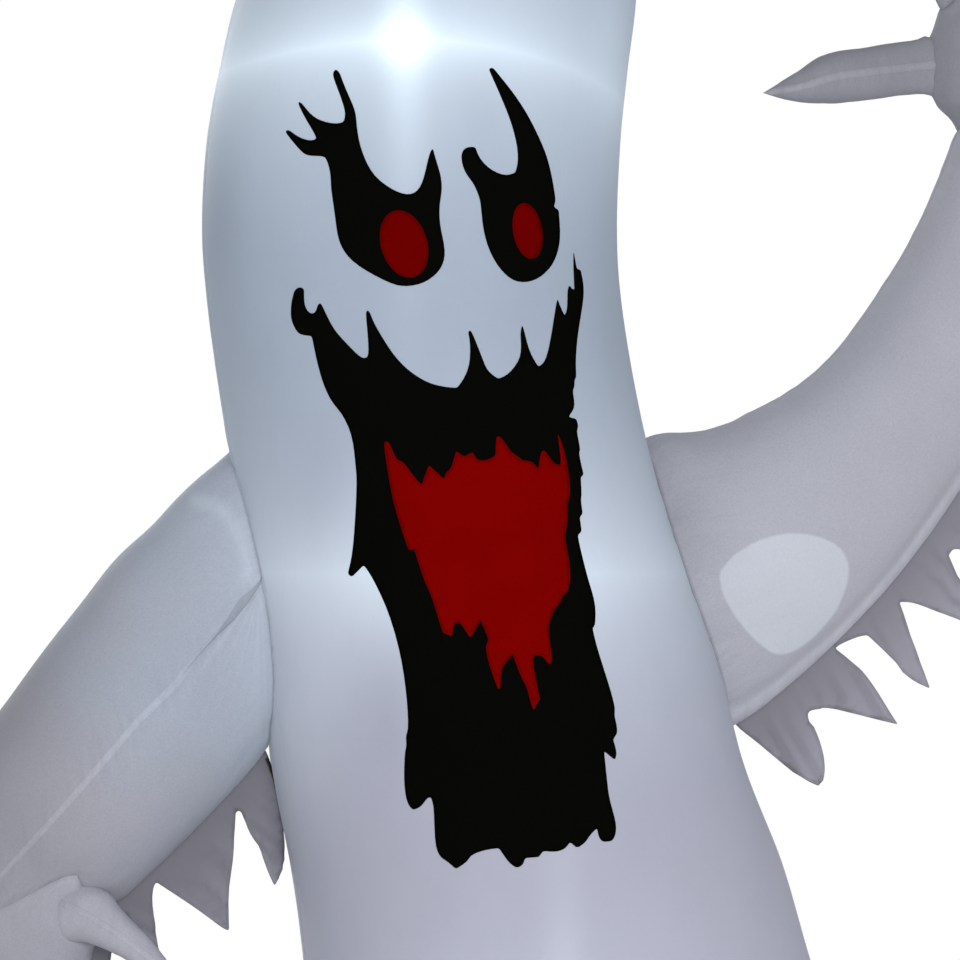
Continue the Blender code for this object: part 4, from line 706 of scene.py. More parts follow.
def cloth_finish(graph, colour, side_shade, end_shade, strip=0.0, strip_light=0.0, grain_share=0.05,
                 crease_shading=False):
    """Woven cloth: mottled tone, fine grain, painted shade in the seam lines, painted highlights on sewn
    strips, stitches and creases, with painted light and shade on the creases near seams.
    """
    place = graph.place()
    cloth = graph.attribute("cloth")
    seams = graph.split(graph.attribute("seams"))
    marks = graph.split(graph.attribute("marks"))
    broad = graph.noise(place, 5.0, 3.0, 0.55)
    grain = graph.noise(place, 260.0, 3.0, 0.8)
    slub = graph.noise(graph.stretched(cloth, (900.0, 60.0, 1.0)), 1.0, 1.0)
    tone = graph.total(graph.times(broad, 0.12), graph.times(grain, grain_share),
                       graph.times(slub, 0.03), 0.925 - grain_share / 2)
    bare = graph.rest(marks[2])
    # Painted shade along the seams, left out where a sewn strip shows
    lines = graph.math("MAXIMUM", graph.times(graph.bell(seams[0], SEAM_LINE), bare, side_shade),
                       graph.times(graph.bell(seams[1], END_LINE), end_shade))
    along = graph.split(cloth)
    dash = graph.math("GREATER_THAN", graph.math("FRACT", graph.times(graph.total(along[0], along[1]),
                                                                     1 / STITCH_LENGTH)), 0.35)
    rows = [graph.bell(graph.minus(seams[axis], STITCH_INSET), STITCH_WIDTH) for axis in (0, 1)]
    level_share = min(end_shade / 0.05, 1.0)
    stitches = graph.times(graph.math("MAXIMUM", rows[0], graph.times(rows[1], level_share)), dash)
    shade = graph.rest(graph.total(lines, graph.times(stitches, 0.06)))
    if strip:
        # Painted highlight on the sewn strip, uneven with puckers, with a painted shade line along its upper
        # edge
        ragged = graph.math("ADD", seams[0], graph.times(graph.minus(broad, 0.5), strip * 0.25))
        light = graph.times(graph.band(ragged, strip * 1.12, strip * 0.88), strip_light)
        line = graph.bell(graph.minus(ragged, strip * 1.2), strip * 0.1)
        puckers = graph.noise(graph.stretched(cloth, (9.0, 34.0, 1.0)), 1.0, 4.0, 0.6)
        light = graph.times(light, graph.band(puckers, 0.25, 0.75, 0.75, 1.2))
        shade = graph.total(shade, graph.times(light, marks[2]), graph.times(line, marks[2], -0.05))
    if crease_shading:
        # Painted light and shade of creases across the cloth near its sides and along it near its ends
        across = graph.noise(graph.stretched(cloth, (12.0, 48.0, 1.0)), 1.0, 4.0, 0.6)
        lengthways = graph.noise(graph.stretched(cloth, (40.0, 9.0, 1.0)), 1.0, 4.0, 0.6)
        for folds, distance, reach in ((across, seams[0], 0.045), (lengthways, seams[1], 0.10)):
            fold = graph.times(graph.minus(folds, 0.5), graph.tent(distance, reach), 0.36)
            tone = graph.total(tone, fold)
    graph.set("Base Color", graph.scale_colour(colour, graph.times(tone, shade)))
    creases = graph.noise(graph.stretched(place, (9.0, 9.0, 5.0)), 1.0, 4.0, 0.5)
    crinkle = graph.noise(place, 55.0, 3.0, 0.55)
    height = graph.total(graph.times(creases, 2.0), graph.times(crinkle, 0.22),
                         graph.times(slub, 0.02), graph.times(grain, 0.03),
                         graph.times(lines, -1.5), graph.times(stitches, 0.2))
    graph.bump(height, 0.0022, 0.8)
    graph.set("Roughness", graph.band(grain, 0.3, 0.7, 0.55, 0.75))
    return shade


def body_material():
    """White polyester with three lamps behind it."""
    graph = Graph("body_cloth", 0.65, 0.08)
    place = graph.place()
    x, _, z = graph.split(place)
    colour = graph.mix(graph.band(z, 1.2, 2.5), rgba(BODY_CLOTH_LOW), rgba(BODY_CLOTH))
    shade = cloth_finish(graph, colour, 0.20, 0.006, grain_share=0.12)
    marks = graph.split(graph.attribute("marks"))
    # Painted shade: less glow along the join with the arms
    shade = graph.times(shade, graph.rest(graph.times(graph.bell(marks[1], JOIN_SHADE_WIDTH), 0.3)))
    glow = graph.total(lamp_glow(graph, x, z, *UPPER_LAMP, sag=0.35),
                       lamp_glow(graph, x, z, *MIDDLE_LAMP, spread=0.13),
                       lamp_glow(graph, x, z, *LOWER_LAMP), BODY_GLOW,
                       *(soft_patch(graph, x, z, *patch) for patch in SOFT_PATCHES))
    graph.set("Emission Color", graph.scale_colour(rgba(GLOW), graph.times(glow, shade)))
    graph.set("Emission Strength", 1.0)
    return graph.material


def arm_material(name, share, near_lit_tones, glow=0.0, mark_light=0.0, mark_shade=0.0, strip=0.0,
                 strip_light=0.0):
    """The arms' cloth, lit faintly from the body, with a painted pool of light or a painted fold shadow,
    painted light near the body, painted shade at the join and far out, and painted highlights on the fold
    and the strips.
    """
    colour = scaled(ARM_CLOTH, share)
    graph = Graph(name, 0.65, 0.08)
    marks = graph.split(graph.attribute("marks"))
    # Painted light: the cloth near the body is lighter, with cloudy edges, and on the lowered arm it fades
    # sooner lower down
    clouds = graph.noise(graph.place(), 3.2, 1.5, 0.5)
    x, _, z = graph.split(graph.place())
    away = graph.total(marks[1], graph.times(graph.minus(clouds, 0.5), 1.2))
    if glow:
        away = graph.total(away, graph.times(graph.minus(skin_shown(*TINT_LEVEL).z, z), 0.8))
    near_cloth, far_cloth = (rgba([share * tone for share, tone in zip(colour, tones)])
                             for tones in (near_lit_tones, FAR_TONES))
    near_light_tint = graph.mix(graph.band(away, 0.10, 0.85), near_cloth, far_cloth)
    # Painted shade: the cloth darkens far to the left, away from the body's light
    far_shade = graph.band(x, -1.45, -1.05, 0.80, 1.0)
    # Inside the painted pool of light or the painted fold shadow
    edge = MARK_EDGE if mark_light else MARK_EDGE / 3
    inside = graph.band(marks[0], -edge, edge)
    near = graph.times(graph.tent(marks[1], 0.16), graph.band(z, 2.22, 1.98))
    # Painted shade line along the join with the body
    line = graph.bell(marks[1], JOIN_SHADE_WIDTH)
    # Painted shade put into both colour and glow: the fold shadow, the line at the join with the body and
    # the shaded spot
    dark = graph.times(graph.rest(graph.times(inside, mark_shade)),
                       graph.rest(graph.times(line, 0.35)),
                       graph.total(1.0, soft_patch(graph, x, z, *SHADE_SPOT)))
    shade = cloth_finish(graph, graph.scale_colour(near_light_tint, graph.times(far_shade, dark)), 0.22, 0.06, strip,
                         strip_light, ARM_GRAIN, crease_shading=True)
    shade = graph.times(shade, dark)
    # Painted highlight on the fold and painted light on the creases fanning from its corner, added to the
    # glow
    folds = graph.attribute("folds")
    fold = graph.bell(graph.split(folds)[0], FOLD_LIGHT_WIDTH)
    streaks = graph.noise(graph.stretched(folds, (0.0, 7.0, 0.0)), 1.0, 3.0, 0.6)
    fan = graph.times(graph.band(streaks, 0.42, 0.72), graph.split(folds)[2])
    light = graph.total(graph.times(near, glow), graph.times(inside, mark_light), graph.times(fold, 0.065),
                        graph.times(fan, 0.15))
    graph.set("Emission Color", graph.scale_colour(rgba(GLOW), graph.times(light, shade)))
    graph.set("Emission Strength", 1.0)
    return graph.material


def plain_cloth_material(name, colour, specular, roughness, emission=None):
    """Matt patch cloth with a fine twill and a slightly uneven dye."""
    graph = Graph(name, roughness, specular)
    place = graph.place()
    broad = graph.noise(place, 7.0, 3.0)
    grain = graph.noise(place, 500.0, 2.0)
    cloth = graph.split(graph.attribute("cloth"))
    twill = graph.math("SINE", graph.times(graph.total(cloth[0], cloth[1]), 2 * math.pi / TWILL_STEP))
    tone = graph.total(graph.times(broad, 0.24), graph.times(grain, 0.12), 0.82)
    edge = graph.split(graph.attribute("seams"))[0]
    dash = graph.math("FRACT", graph.times(graph.total(cloth[0], cloth[1]), 1 / HEM_STITCH))
    stitch = graph.times(graph.bell(graph.minus(edge, HEM_INSIDE), 0.0012),
                         graph.math("GREATER_THAN", dash, 0.4))
    tone = graph.minus(tone, graph.times(stitch, 0.25))
    graph.set("Base Color", graph.scale_colour(rgba(colour), tone))
    graph.bump(graph.total(graph.times(twill, 0.10), graph.times(grain, 0.2), graph.times(broad, 3.0),
                           graph.times(stitch, 0.5)), 0.0012, 0.6)
    if emission:
        graph.set("Emission Color", graph.scale_colour(rgba(emission), tone))
        graph.set("Emission Strength", 1.0)
    return graph.material


def fringe_material(name, tone):
    """Single cloth that hangs unlit, with painted shade under the arm where it is sewn on and a painted
    shadow in its gap by the body.
    """
    graph = Graph(name, 0.75, 0.08)
    depth = graph.split(graph.attribute("hang"))[0]
    # Painted shade: darker near the arm, lighter towards the tips
    colour = graph.mix(graph.band(depth, 0.0, 0.20), rgba(scaled(FRINGE_CLOTH, 0.82 * tone)),
                       rgba(scaled(FRINGE_CLOTH, 1.15 * tone)))
    cloth_finish(graph, colour, 0.05, 0.05)
    marks = graph.split(graph.attribute("marks"))
    # Painted shadow: near-black inside the gap by the body
    dark = graph.band(marks[0], -MARK_EDGE / 2, MARK_EDGE / 2)
    shaded = graph.shader.inputs["Base Color"].links[0].from_socket
    graph.set("Base Color", graph.mix(dark, shaded, rgba(GAP_SHADOW_COLOUR)))
    return graph.material


def moulded_material(name, colour, roughness, speckle=0.15):
    """Moulded plastic with a fine spark-eroded grain, scuffs and dust."""
    graph = Graph(name, roughness)
    place = graph.place()
    grain = graph.noise(place, 900.0, 3.0, 0.6)
    smudge = graph.noise(place, 14.0, 4.0, 0.6)
    tone = graph.total(graph.times(grain, speckle), graph.times(smudge, 0.35), 0.75)
    graph.set("Base Color", graph.scale_colour(rgba(colour), tone))
    graph.set("Roughness", graph.band(smudge, 0.3, 0.7, roughness - 0.08, roughness + 0.12))
    graph.bump(grain, 0.0003, 0.6)
    return graph.material


def webbing_material(name, colour):
    """Woven webbing with ribs across it."""
    graph = Graph(name, 0.8, 0.25)
    place = graph.place()
    ribs = graph.node("ShaderNodeTexWave", {"Vector": place, "Scale": 260.0, "Distortion": 0.6,
                                            "Detail": 1.0}, wave_type="BANDS",
                      bands_direction="DIAGONAL").outputs["Fac"]
    grain = graph.noise(place, 700.0, 2.0)
    tone = graph.total(graph.times(ribs, 0.35), graph.times(grain, 0.35), 0.62)
    graph.set("Base Color", graph.scale_colour(rgba(colour), tone))
    graph.set("Sheen Weight", 0.1)
    graph.bump(graph.total(ribs, grain), 0.0005, 0.8)
    return graph.material


def metal_material(name, colour, roughness):
    """Plated steel with fine scratches."""
    graph = Graph(name, roughness)
    place = graph.place()
    scratches = graph.noise(graph.stretched(place, (40.0, 40.0, 900.0)), 1.0, 3.0, 0.6)
    stain = graph.noise(place, 60.0, 3.0)
    graph.set("Base Color", graph.scale_colour(rgba(colour), graph.total(graph.times(stain, 0.25), 0.85)))
    graph.set("Metallic", 1.0)
    graph.set("Roughness", graph.band(scratches, 0.3, 0.7, roughness, roughness + 0.18))
    graph.bump(scratches, 0.0001, 0.4)
    return graph.material


def lens_material():
    """Frosted clear plastic with the light on."""
    graph = Graph("lamp_lens_clear", 0.25)
    place = graph.place()
    frost = graph.noise(place, 260.0, 3.0)
    graph.set("Base Color", graph.scale_colour(rgba((0.85, 0.90, 0.95)),
                                               graph.total(graph.times(frost, 0.15), 0.88)))
    graph.set("Roughness", graph.band(frost, 0.3, 0.7, 0.2, 0.45))
    graph.set("Emission Color", graph.scale_colour(rgba((0.85, 0.95, 1.0)),
                                                   graph.total(graph.times(frost, 0.3), 0.8)))
    graph.set("Emission Strength", 1.0)
    graph.bump(frost, 0.0004, 0.5)
    return graph.material


def piece(name, points, faces, material, nodes, attributes):
    """A mesh piece that rides on the root body and stands for its nodes."""
    mesh = bpy.data.meshes.new(name)
    mesh.from_pydata([tuple(point) for point in points], [], faces)
    mesh.validate()
    for key, values in attributes.items():
        layer = mesh.attributes.new(key, "FLOAT_VECTOR", "POINT")
        layer.data.foreach_set("vector", [number for value in values for number in value])
    mesh.shade_smooth()
    mesh.materials.append(material)
    thing = bpy.data.objects.new(name, mesh)
    bpy.context.scene.collection.objects.link(thing)
    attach(thing, "root")
    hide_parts(*nodes)
    return thing


def thicken(thing, thickness):
    """Give a skin its cloth's thickness, towards the inside."""
    solid = thing.modifiers.new("cloth", "SOLIDIFY")
    solid.thickness = thickness
    solid.offset = -1
    solid.use_rim = False


def lengths(line):
    """How far each point lies along a line of points."""
    total = 0
    result = [0]
    for before, after in zip(line, line[1:]):
        total += (after - before).length
        result.append(total)
    return result


def cloth_grid(name, grid, flip, material, nodes, wrap=False, ends=(True, True), sides=True,
               marks=None, folds=None, sides_at=None):
    """A fine skin from a grid of points, with its distances along the cloth and from its seams."""
    rows = len(grid)
    columns = len(grid[0])
    faces = []
    for row in range(rows - 1):
        for column in range(columns if wrap else columns - 1):
            after = (column + 1) % columns
            corners = (row * columns + column, row * columns + after, (row + 1) * columns + after,
                       (row + 1) * columns + column)
            faces.append(corners[::-1] if flip else corners)
    points = [point for line in grid for point in line]
    along = [lengths([grid[row][column] for row in range(rows)]) for column in range(columns)]
    cloth = []
    seams = []
    for row in range(rows):
        across = lengths(grid[row])
        for column in range(columns):
            u = across[column]
            v = along[column][row]
            cloth.append((u, v, 0))
            side = min(u, across[-1] - u) if sides else NO_SEAM
            side = sides_at[row * columns + column] if sides_at else side
            end = min(v if ends[0] else NO_SEAM, along[column][-1] - v if ends[1] else NO_SEAM)
            seams.append((side, end, 0))
    marks = marks or [NO_MARK] * len(points)
    folds = folds or [NO_FOLD] * len(points)
    thing = piece(name, points, faces, material, nodes,
                  {"cloth": cloth, "seams": seams, "marks": marks, "folds": folds})
    thicken(thing, FABRIC)
    width = max(lengths(line)[-1] for line in grid)
    return thing


def body_places(low, high):
    """Places along the body's rows between two heights, about one step apart."""
    start = place_at(low)
    end = place_at(high) if high < BODY_HEIGHT else len(BODY_SHARES) - 1
    places = [start]
    while places[-1] < end:
        here = body_row(places[-1])
        ahead = body_row(min(places[-1] + PLACE_PROBE, len(BODY_SHARES) - 1))
        step = math.dist(here, ahead) / PLACE_PROBE
        places.append(places[-1] + ROW_STEP / max(step, ROW_STEP))
    places[-1] = end
    return places


def add_body(material):
    """Front and back skins of the skirt, the chest and the head."""
    floor = BASE_CLOTH + SEAT_GAP
    for tier, low, high in (("skirt", floor, LOWER_SEAM), ("chest", LOWER_SEAM, UPPER_SEAM),
                            ("head", UPPER_SEAM, BODY_HEIGHT)):
        places = body_places(low, high)
        for back in (False, True):
            start = math.pi / 2 if back else -math.pi / 2
            turns = [start + math.pi * column / HALF_COLUMNS for column in range(HALF_COLUMNS + 1)]
            grid = [[skin_point(place, turn) for turn in turns] for place in places]
            marks = [(-1, arm_distance(point), 0) for line in grid for point in line]
            name = tier + ("_back" if back else "_front")
            cloth_grid(name + "_cloth", grid, False, material, ["body_" + name],
                       ends=(tier != "skirt", tier != "head"), marks=marks)


def arm_distance(point):
    """How far a point of the body's skin lies outside the nearer arm."""
    if not ARM_HEIGHTS[0] < point.z < ARM_HEIGHTS[1]:
        return FAR_AWAY
    return min(limb.reach(point, 2 * LIMB_SAMPLES)[0] for limb in (LOWERED, RAISED))


def add_base(material):
    """Coarse base cloth with a sewn edge."""
    ring = [skin_base(place_at(BASE_CLOTH), math.pi * step / HALF_COLUMNS)[0] for step in
            range(2 * HALF_COLUMNS)]
    centre = Vector((sum(point.x for point in ring) / len(ring),
                     sum(point.y for point in ring) / len(ring), 0))
    points = []
    cloth = []
    for height in (0, BASE_CLOTH):
        for share in BASE_RINGS:
            for point in ring:
                flat = centre.lerp(Vector((point.x, point.y, 0)), share)
                points.append(flat + UP * height)
                cloth.append((flat.x, flat.y, 0))
    columns = len(ring)
    faces = []
    for layer in (0, 1):
        start = layer * len(BASE_RINGS) * columns
        cap = list(range(start, start + columns))
        faces.append(cap if layer else cap[::-1])
        for row in range(len(BASE_RINGS) - 1):
            for column in range(columns):
                after = (column + 1) % columns
                a = start + row * columns + column
                b = start + row * columns + after
                corners = (a, a + columns, b + columns, b)
                faces.append(corners if layer else corners[::-1])
    last = (len(BASE_RINGS) - 1) * columns
    top = len(BASE_RINGS) * columns
    for column in range(columns):
        after = (column + 1) % columns
        faces.append((last + column, last + after, top + last + after, top + last + column))
    far = [(NO_SEAM, NO_SEAM, 0)] * len(points)
    thing = piece("base_cloth_panel", points, faces, material, ["base_panel"],
                  {"cloth": cloth, "seams": far})


def outside_body(point):
    """Whether a point lies outside the body's smooth skin."""
    _, centre, radius = body_row(place_at(point.z))
    return math.hypot((point.x - centre) / radius, point.y / (BODY_DEPTH_SHARE * radius)) > 1


def arm_start(limb, turn):
    """The place where the arm's skin leaves the body at a turn."""
    low, high = START_RANGE
    for _ in range(START_TRIES):
        middle = (low + high) / 2
        if outside_body(limb.point(middle, turn)):
            high = middle
        else:
            low = middle
    return high


def wrist(limb, turn):
    """The place where the arm's skin ends at a turn."""
    return WRIST_ROW if limb.side > 0 else curve_line(WRIST_LINE, math.cos(turn))


def curve_line(line, x):
    """Like read_line, with softened corners."""
    spots = [x + LINE_REACH * step / 3 for step in range(-3, 4)]
    return sum(read_line(line, spot) for spot in spots) / len(spots)


def seam_turns(limb, starts):
    """The turn of the arm's front seam at each row, from the pixels where the line is seen."""
    turns = []
    for row in range(ARM_ROWS + 1):
        low, high = SEAM_RANGE
        for _ in range(SEAM_TRIES):
            turn = (low + high) / 2
            first = arm_first(starts, turn)
            place = first + (wrist(limb, turn) - first) * row / ARM_ROWS
            column, level = pixel_of(limb.point(place, turn))
            if level < read_line(LOWERED_SEAM, column):
                low = turn
            else:
                high = turn
        turns.append(low)
    return turns


def arm_first(starts, turn):
    """The place where the arm leaves the body, read from a ring of starts."""
    step = (turn / (2 * math.pi)) % 1 * START_TURNS
    index = int(step)
    share = step - index
    return starts[index % START_TURNS] * (1 - share) + starts[(index + 1) % START_TURNS] * share


def arm_relief(limb, place, turn, from_body, to_wrist, to_seam, overlap):
    """How far the arm's skin stands out from its smooth shape."""
    around = turn * 0.25
    point = Vector((place * 0.9, math.cos(turn) * 1.3, math.sin(turn) * 1.3 + 9 * limb.side))
    lift = ARM_SWELL * noise.noise(point)
    lift += ARM_CREASE * 1.1 * wrinkle(around, from_body, 0.045, 0.10, 11.5 + limb.side)
    lift += PUCKER * 1.2 * wrinkle(around, to_wrist, 0.03, 0.05, 17.5 + limb.side)
    beside_seam = wrinkle(place * 0.3, to_seam, PUCKER_LENGTH, 0.05, 23.5 + limb.side)
    lift += PUCKER * 1.4 * beside_seam * min(to_seam / 0.01, 1)
    lift -= SEAM_DEPTH * 0.4 * bell(to_seam, SEAM_WIDTH * 1.2)
    lift -= SHOULDER_DIP * bell(from_body, SHOULDER_REACH)
    lift += overlap * OVERLAP_RISE * bell(to_seam, OVERLAP_REACH) * (1 - fade(0.10, 0.25, from_body))
    upper = max(math.cos(turn), 0) ** 2
    lift += upper * sum(rise * bell(place - middle, width)
                        for rise, middle, width in UPPER_BUMPS[limb.side])
    return lift * fade(0, WRIST_REACH, to_wrist) - wrist_dip(limb, to_wrist)


def wrist_dip(limb, distance):
    """How far the cloth is drawn in by the seam between arm and hand."""
    return WRIST_DEPTH * (1 if limb.side > 0 else 0.4) * math.exp(-distance / WRIST_REACH)


def add_arm(limb, panels, seam_line, material):
    """The arm's two long skins, from the body to the wrist."""
    starts = [arm_start(limb, 2 * math.pi * step / START_TURNS) for step in range(START_TURNS)]
    front = seam_turns(limb, starts) if seam_line else None
    for name, node, start in panels:
        grid = []
        marks = []
        folds = []
        overlap = 0 if limb.side > 0 else (1 if start < 0 else -1)
        length = [0] * (ARM_HALF_COLUMNS + 1)
        for row in range(ARM_ROWS + 1):
            share = row / ARM_ROWS
            first_turn = start
            last_turn = start + math.pi
            if front:
                first_turn = front[row] if start > 0 else start
                last_turn = last_turn if start > 0 else front[row]
            line = []
            for column in range(ARM_HALF_COLUMNS + 1):
                turn = first_turn + (last_turn - first_turn) * column / ARM_HALF_COLUMNS
                first = arm_first(starts, turn)
                last = wrist(limb, turn)
                place = first + (last - first) * share
                half_width = curve_value(limb.rows, place)[3]
                edge = min(turn - first_turn, last_turn - turn) * half_width
                if row == 0:
                    length[column] = (limb.point(last, turn) - limb.point(first, turn)).length
                from_body = share * length[column]
                to_wrist = (1 - share) * length[column]
                lift = arm_relief(limb, place, turn, from_body, to_wrist, edge, overlap)
                point = limb.point(place, turn, lift)
                line.append(point)
                if limb.side > 0:
                    # Raised arm: depth inside the painted pool of light on its front; the painted strip
                    # highlight shows on its lower side
                    mark = depth_inside(LIGHT_POOL, point) if math.sin(turn) > 0 else -1
                    gate = fade(0.2, 0.4, -math.cos(turn))
                else:
                    # Lowered arm: depth inside the painted fold shadow above the seam; the painted strip
                    # highlight shows past the arm's first part
                    mark = fold_shadow_width(from_body) - (last_turn - turn) * half_width if start < 0 else -1
                    gate = fade(0.15, 0.30, share)
                marks.append((mark, from_body, gate))
                # Painted light of the fold near the shoulder and of the creases fanning from its end
                folds.append(fold_light_marks(point, math.sin(turn), start > 0) if limb.side < 0 else NO_FOLD)
            grid.append(line)
        cloth_grid(name, grid, limb.side < 0, material, [node], marks=marks, folds=folds)


def fold_shadow_width(from_body):
    """The width of the painted shadow of the fold beside the lowered arm's seam."""
    return CRESCENT_WIDTH * bell(from_body - CRESCENT_PLACE, CRESCENT_REACH) - CRESCENT_CUT


def fold_light_marks(point, facing, under_seam):
    """The distance from the fold's painted highlight, and the turn and strength of the painted light on the
    creases that fan from its end.
    """
    column, row = pixel_of(point)
    fan = (row - FAN_CORNER[1], column - FAN_CORNER[0])
    strength = math.exp(-math.hypot(*fan) * PIXEL / FAN_REACH) * fade(0.1, 0.4, facing)
    strength *= 1 if under_seam else FAN_ABOVE_SEAM
    distance = line_distance(LIGHT_FOLD, column, row) * PIXEL if facing > 0 else NO_FOLD[0]
    return distance, math.atan2(-fan[0], -fan[1]), strength


def merge_lift(apart):
    """How far two skins rise where they run into each other."""
    share = max(1 - abs(apart) / MERGE, 0)
    return share * share * MERGE / 4


def add_palm(name, node, limb, fingers, material):
    """The hand's bag, sewn to the wrist."""
    steps = (limb.end - WRIST_ROW) * HAND_ROW_STEPS
    columns = 2 * ARM_HALF_COLUMNS
    grid = []
    for row in range(steps + 1):
        line = []
        for column in range(columns):
            turn = 2 * math.pi * column / columns
            first = wrist(limb, turn)
            place = first + (limb.end - first) * row / steps
            half_width = max(curve_value(limb.rows, place)[3], 0)
            seam = abs(math.cos(turn)) * half_width
            to_wrist = row * 0.02
            point = Vector((place * 1.4, math.cos(turn) * 1.6, math.sin(turn) * 1.6))
            lift = ARM_SWELL * noise.noise(point)
            lift += PUCKER * 1.5 * wrinkle(turn * 0.2, to_wrist, 0.03, 0.06, 31.5 + limb.side)
            lift -= SEAM_DEPTH * bell(seam, SEAM_WIDTH * 1.5)
            base = limb.point(place, turn)
            lift += max(merge_lift(finger.reach(base)[0]) for finger in fingers)
            if half_width < SLIGHT:
                lift = 0
            lift = lift * fade(0, WRIST_REACH, to_wrist) - wrist_dip(limb, to_wrist)
            line.append(limb.point(place, turn, lift))
        grid.append(line)
    cloth_grid(name, grid, limb.side < 0, material, [node], wrap=True, sides=False,
               ends=(True, False))


def add_hand(palm_name, limb, tables, material):
    """A palm and its pointed fingers, which have a raised seam down their front and back, with a painted
    highlight along it on the raised hand.
    """
    fingers = [Limb(table, limb.side) for _, table in tables]
    add_palm(palm_name + "_cloth", palm_name, limb, fingers, material)
    for (name, _), finger in zip(tables, fingers):
        grid = []
        seams = []
        for row in range(HAND_ROW_STEPS * finger.end + 1):
            place = row / HAND_ROW_STEPS
            half_width = max(curve_value(finger.rows, place)[3], 0)
            line = []
            for column in range(FINGER_COLUMNS):
                turn = 2 * math.pi * column / FINGER_COLUMNS
                seam = abs(math.cos(turn)) * half_width
                lift = FINGER_SWELL * noise.noise(Vector((place * 1.3, turn, finger.rows[0][0] * 9)))
                lift += FINGER_RIDGE * bell(seam, SEAM_WIDTH * 2)
                lift += PUCKER * 1.3 * wrinkle(place * 0.12, seam, 0.022, 0.03, 41.5)
                lift += merge_lift(limb.reach(finger.point(place, turn))[0])
                lift *= min(half_width / SLIGHT, 1)
                line.append(finger.point(place, turn, lift))
                seams.append(seam)
            grid.append(line)
        cloth_grid(name + "_cloth", grid, limb.side < 0, material, [name], wrap=True,
                   ends=(False, False), marks=[FINGER_MARK] * len(seams), sides_at=seams)


def inside_outline(outline, x, y):
    """Whether a flat point lies inside an outline."""
    inside = False
    for (ax, ay), (bx, by) in zip(outline, outline[1:] + outline[:1]):
        if (ay > y) != (by > y) and x < ax + (bx - ax) * (y - ay) / (by - ay):
            inside = not inside
    return inside


def edge_distance(outline, x, y):
    """The distance from a flat point to an outline."""
    return line_distance(outline + outline[:1], x, y)


def line_distance(line, x, y):
    """The distance from a flat point to a line of points."""
    best = math.inf
    for (ax, ay), (bx, by) in zip(line, line[1:]):
        dx = bx - ax
        dy = by - ay
        share = min(max(((x - ax) * dx + (y - ay) * dy) / (dx * dx + dy * dy), 0), 1)
        best = min(best, math.hypot(x - ax - share * dx, y - ay - share * dy))
    return best


def depth_inside(outline, point):
    """How far inside a pixel outline a point is seen, in metres, and less than nought outside."""
    column, row = pixel_of(point)
    apart = edge_distance(outline, column, row) * PIXEL
    return apart if inside_outline(outline, column, row) else -apart


def rounded(outline):
    """An outline whose gentle bends become one smooth curve and whose corners are a little rounded."""
    result = []
    for before, here, after in zip(outline[-1:] + outline[:-1], outline, outline[1:] + outline[:1]):
        ends = []
        incoming = Vector(here) - Vector(before)
        gentle = incoming.angle(Vector(after) - Vector(here)) < GENTLE_TURN
        for other in (before, after):
            away = math.dist(here, other)
            share = 0.49 if gentle else min(CORNER_PIXELS / away, 0.49)
            ends.append([a + (b - a) * share for a, b in zip(here, other)])
        for step in range(CORNER_STEPS + 1):
            share = step / CORNER_STEPS
            result.append(tuple(a * (1 - share) ** 2 + 2 * b * share * (1 - share) + c * share ** 2
                                for a, b, c in zip(ends[0], here, ends[1])))
    return result


def plate(outline, step):
    """A fine triangle mesh inside a pixel outline: its flat points and its triangles."""
    columns = [point[0] for point in outline]
    rows = [point[1] for point in outline]
    inner = []
    count = 0
    row = min(rows) + step / 2
    while row < max(rows):
        column = min(columns) + step / 2 + (step / 2 if count % 2 else 0)
        while column < max(columns):
            if inside_outline(outline, column, row) and edge_distance(outline, column, row) > step * 0.35:
                inner.append((column, row))
            column += step
        row += step * 0.87
        count += 1
    flat = [Vector(point) for point in outline + inner]
    edges = [(index, (index + 1) % len(outline)) for index in range(len(outline))]
    flat, _, triangles, _, _, _ = delaunay_2d_cdt(flat, edges, [], 1, 0.001)
    return flat, [tuple(triangle) for triangle in triangles]


def add_plate(name, outline, step, lift, material, nodes, extra=None):
    """A thin two-sided cloth inside a pixel outline; lift gives both sides at a pixel."""
    flat, triangles = plate(outline, step)
    sides = [lift(point.x, point.y) for point in flat]
    points = [side[0] for side in sides] + [side[1] for side in sides]
    count = len(flat)
    faces = [triangle[::-1] for triangle in triangles]
    faces += [tuple(index + count for index in triangle) for triangle in triangles]
    uses = {}
    for triangle in triangles:
        for a, b in zip(triangle, triangle[1:] + triangle[:1]):
            uses.setdefault((min(a, b), max(a, b)), []).append((a, b))
    for owners in uses.values():
        if len(owners) == 1:
            a, b = owners[0]
            faces.append((b + count, a + count, a, b))
    cloth = [(point.x * PIXEL, point.y * PIXEL, 0) for point in flat] * 2
    seams = [(edge_distance(outline, point.x, point.y) * PIXEL, NO_SEAM, 0) for point in flat] * 2
    attributes = {"cloth": cloth, "seams": seams}
    if extra:
        attributes.update(extra(flat))
    return piece(name, points, faces, material, nodes, attributes), flat, triangles


def add_patch(name, node, outline, low, high, material):
    """A patch sewn on the face, lying on the skin."""
    def lift(column, row):
        place, turn = face_place(column, row)
        return skin_point(place, turn, high), skin_point(place, turn, low)

    thing, flat, triangles = add_plate(name, rounded(list(outline)), FACE_STEP, lift, material,
                                       [node])
    declare_plate(thing, flat, triangles)


def declare_plate(thing, flat, triangles):
    """Work out the cloth's flat width, length and area, which are not used further."""
    size = [(max(point[axis] for point in flat) - min(point[axis] for point in flat)) * PIXEL
            for axis in (0, 1)]
    area = sum(abs((flat[b] - flat[a]).cross(flat[c] - flat[a])) / 2 for a, b, c in triangles) * PIXEL ** 2
    area = min(max(area, LEAST_FILL * size[0] * size[1]), size[0] * size[1])


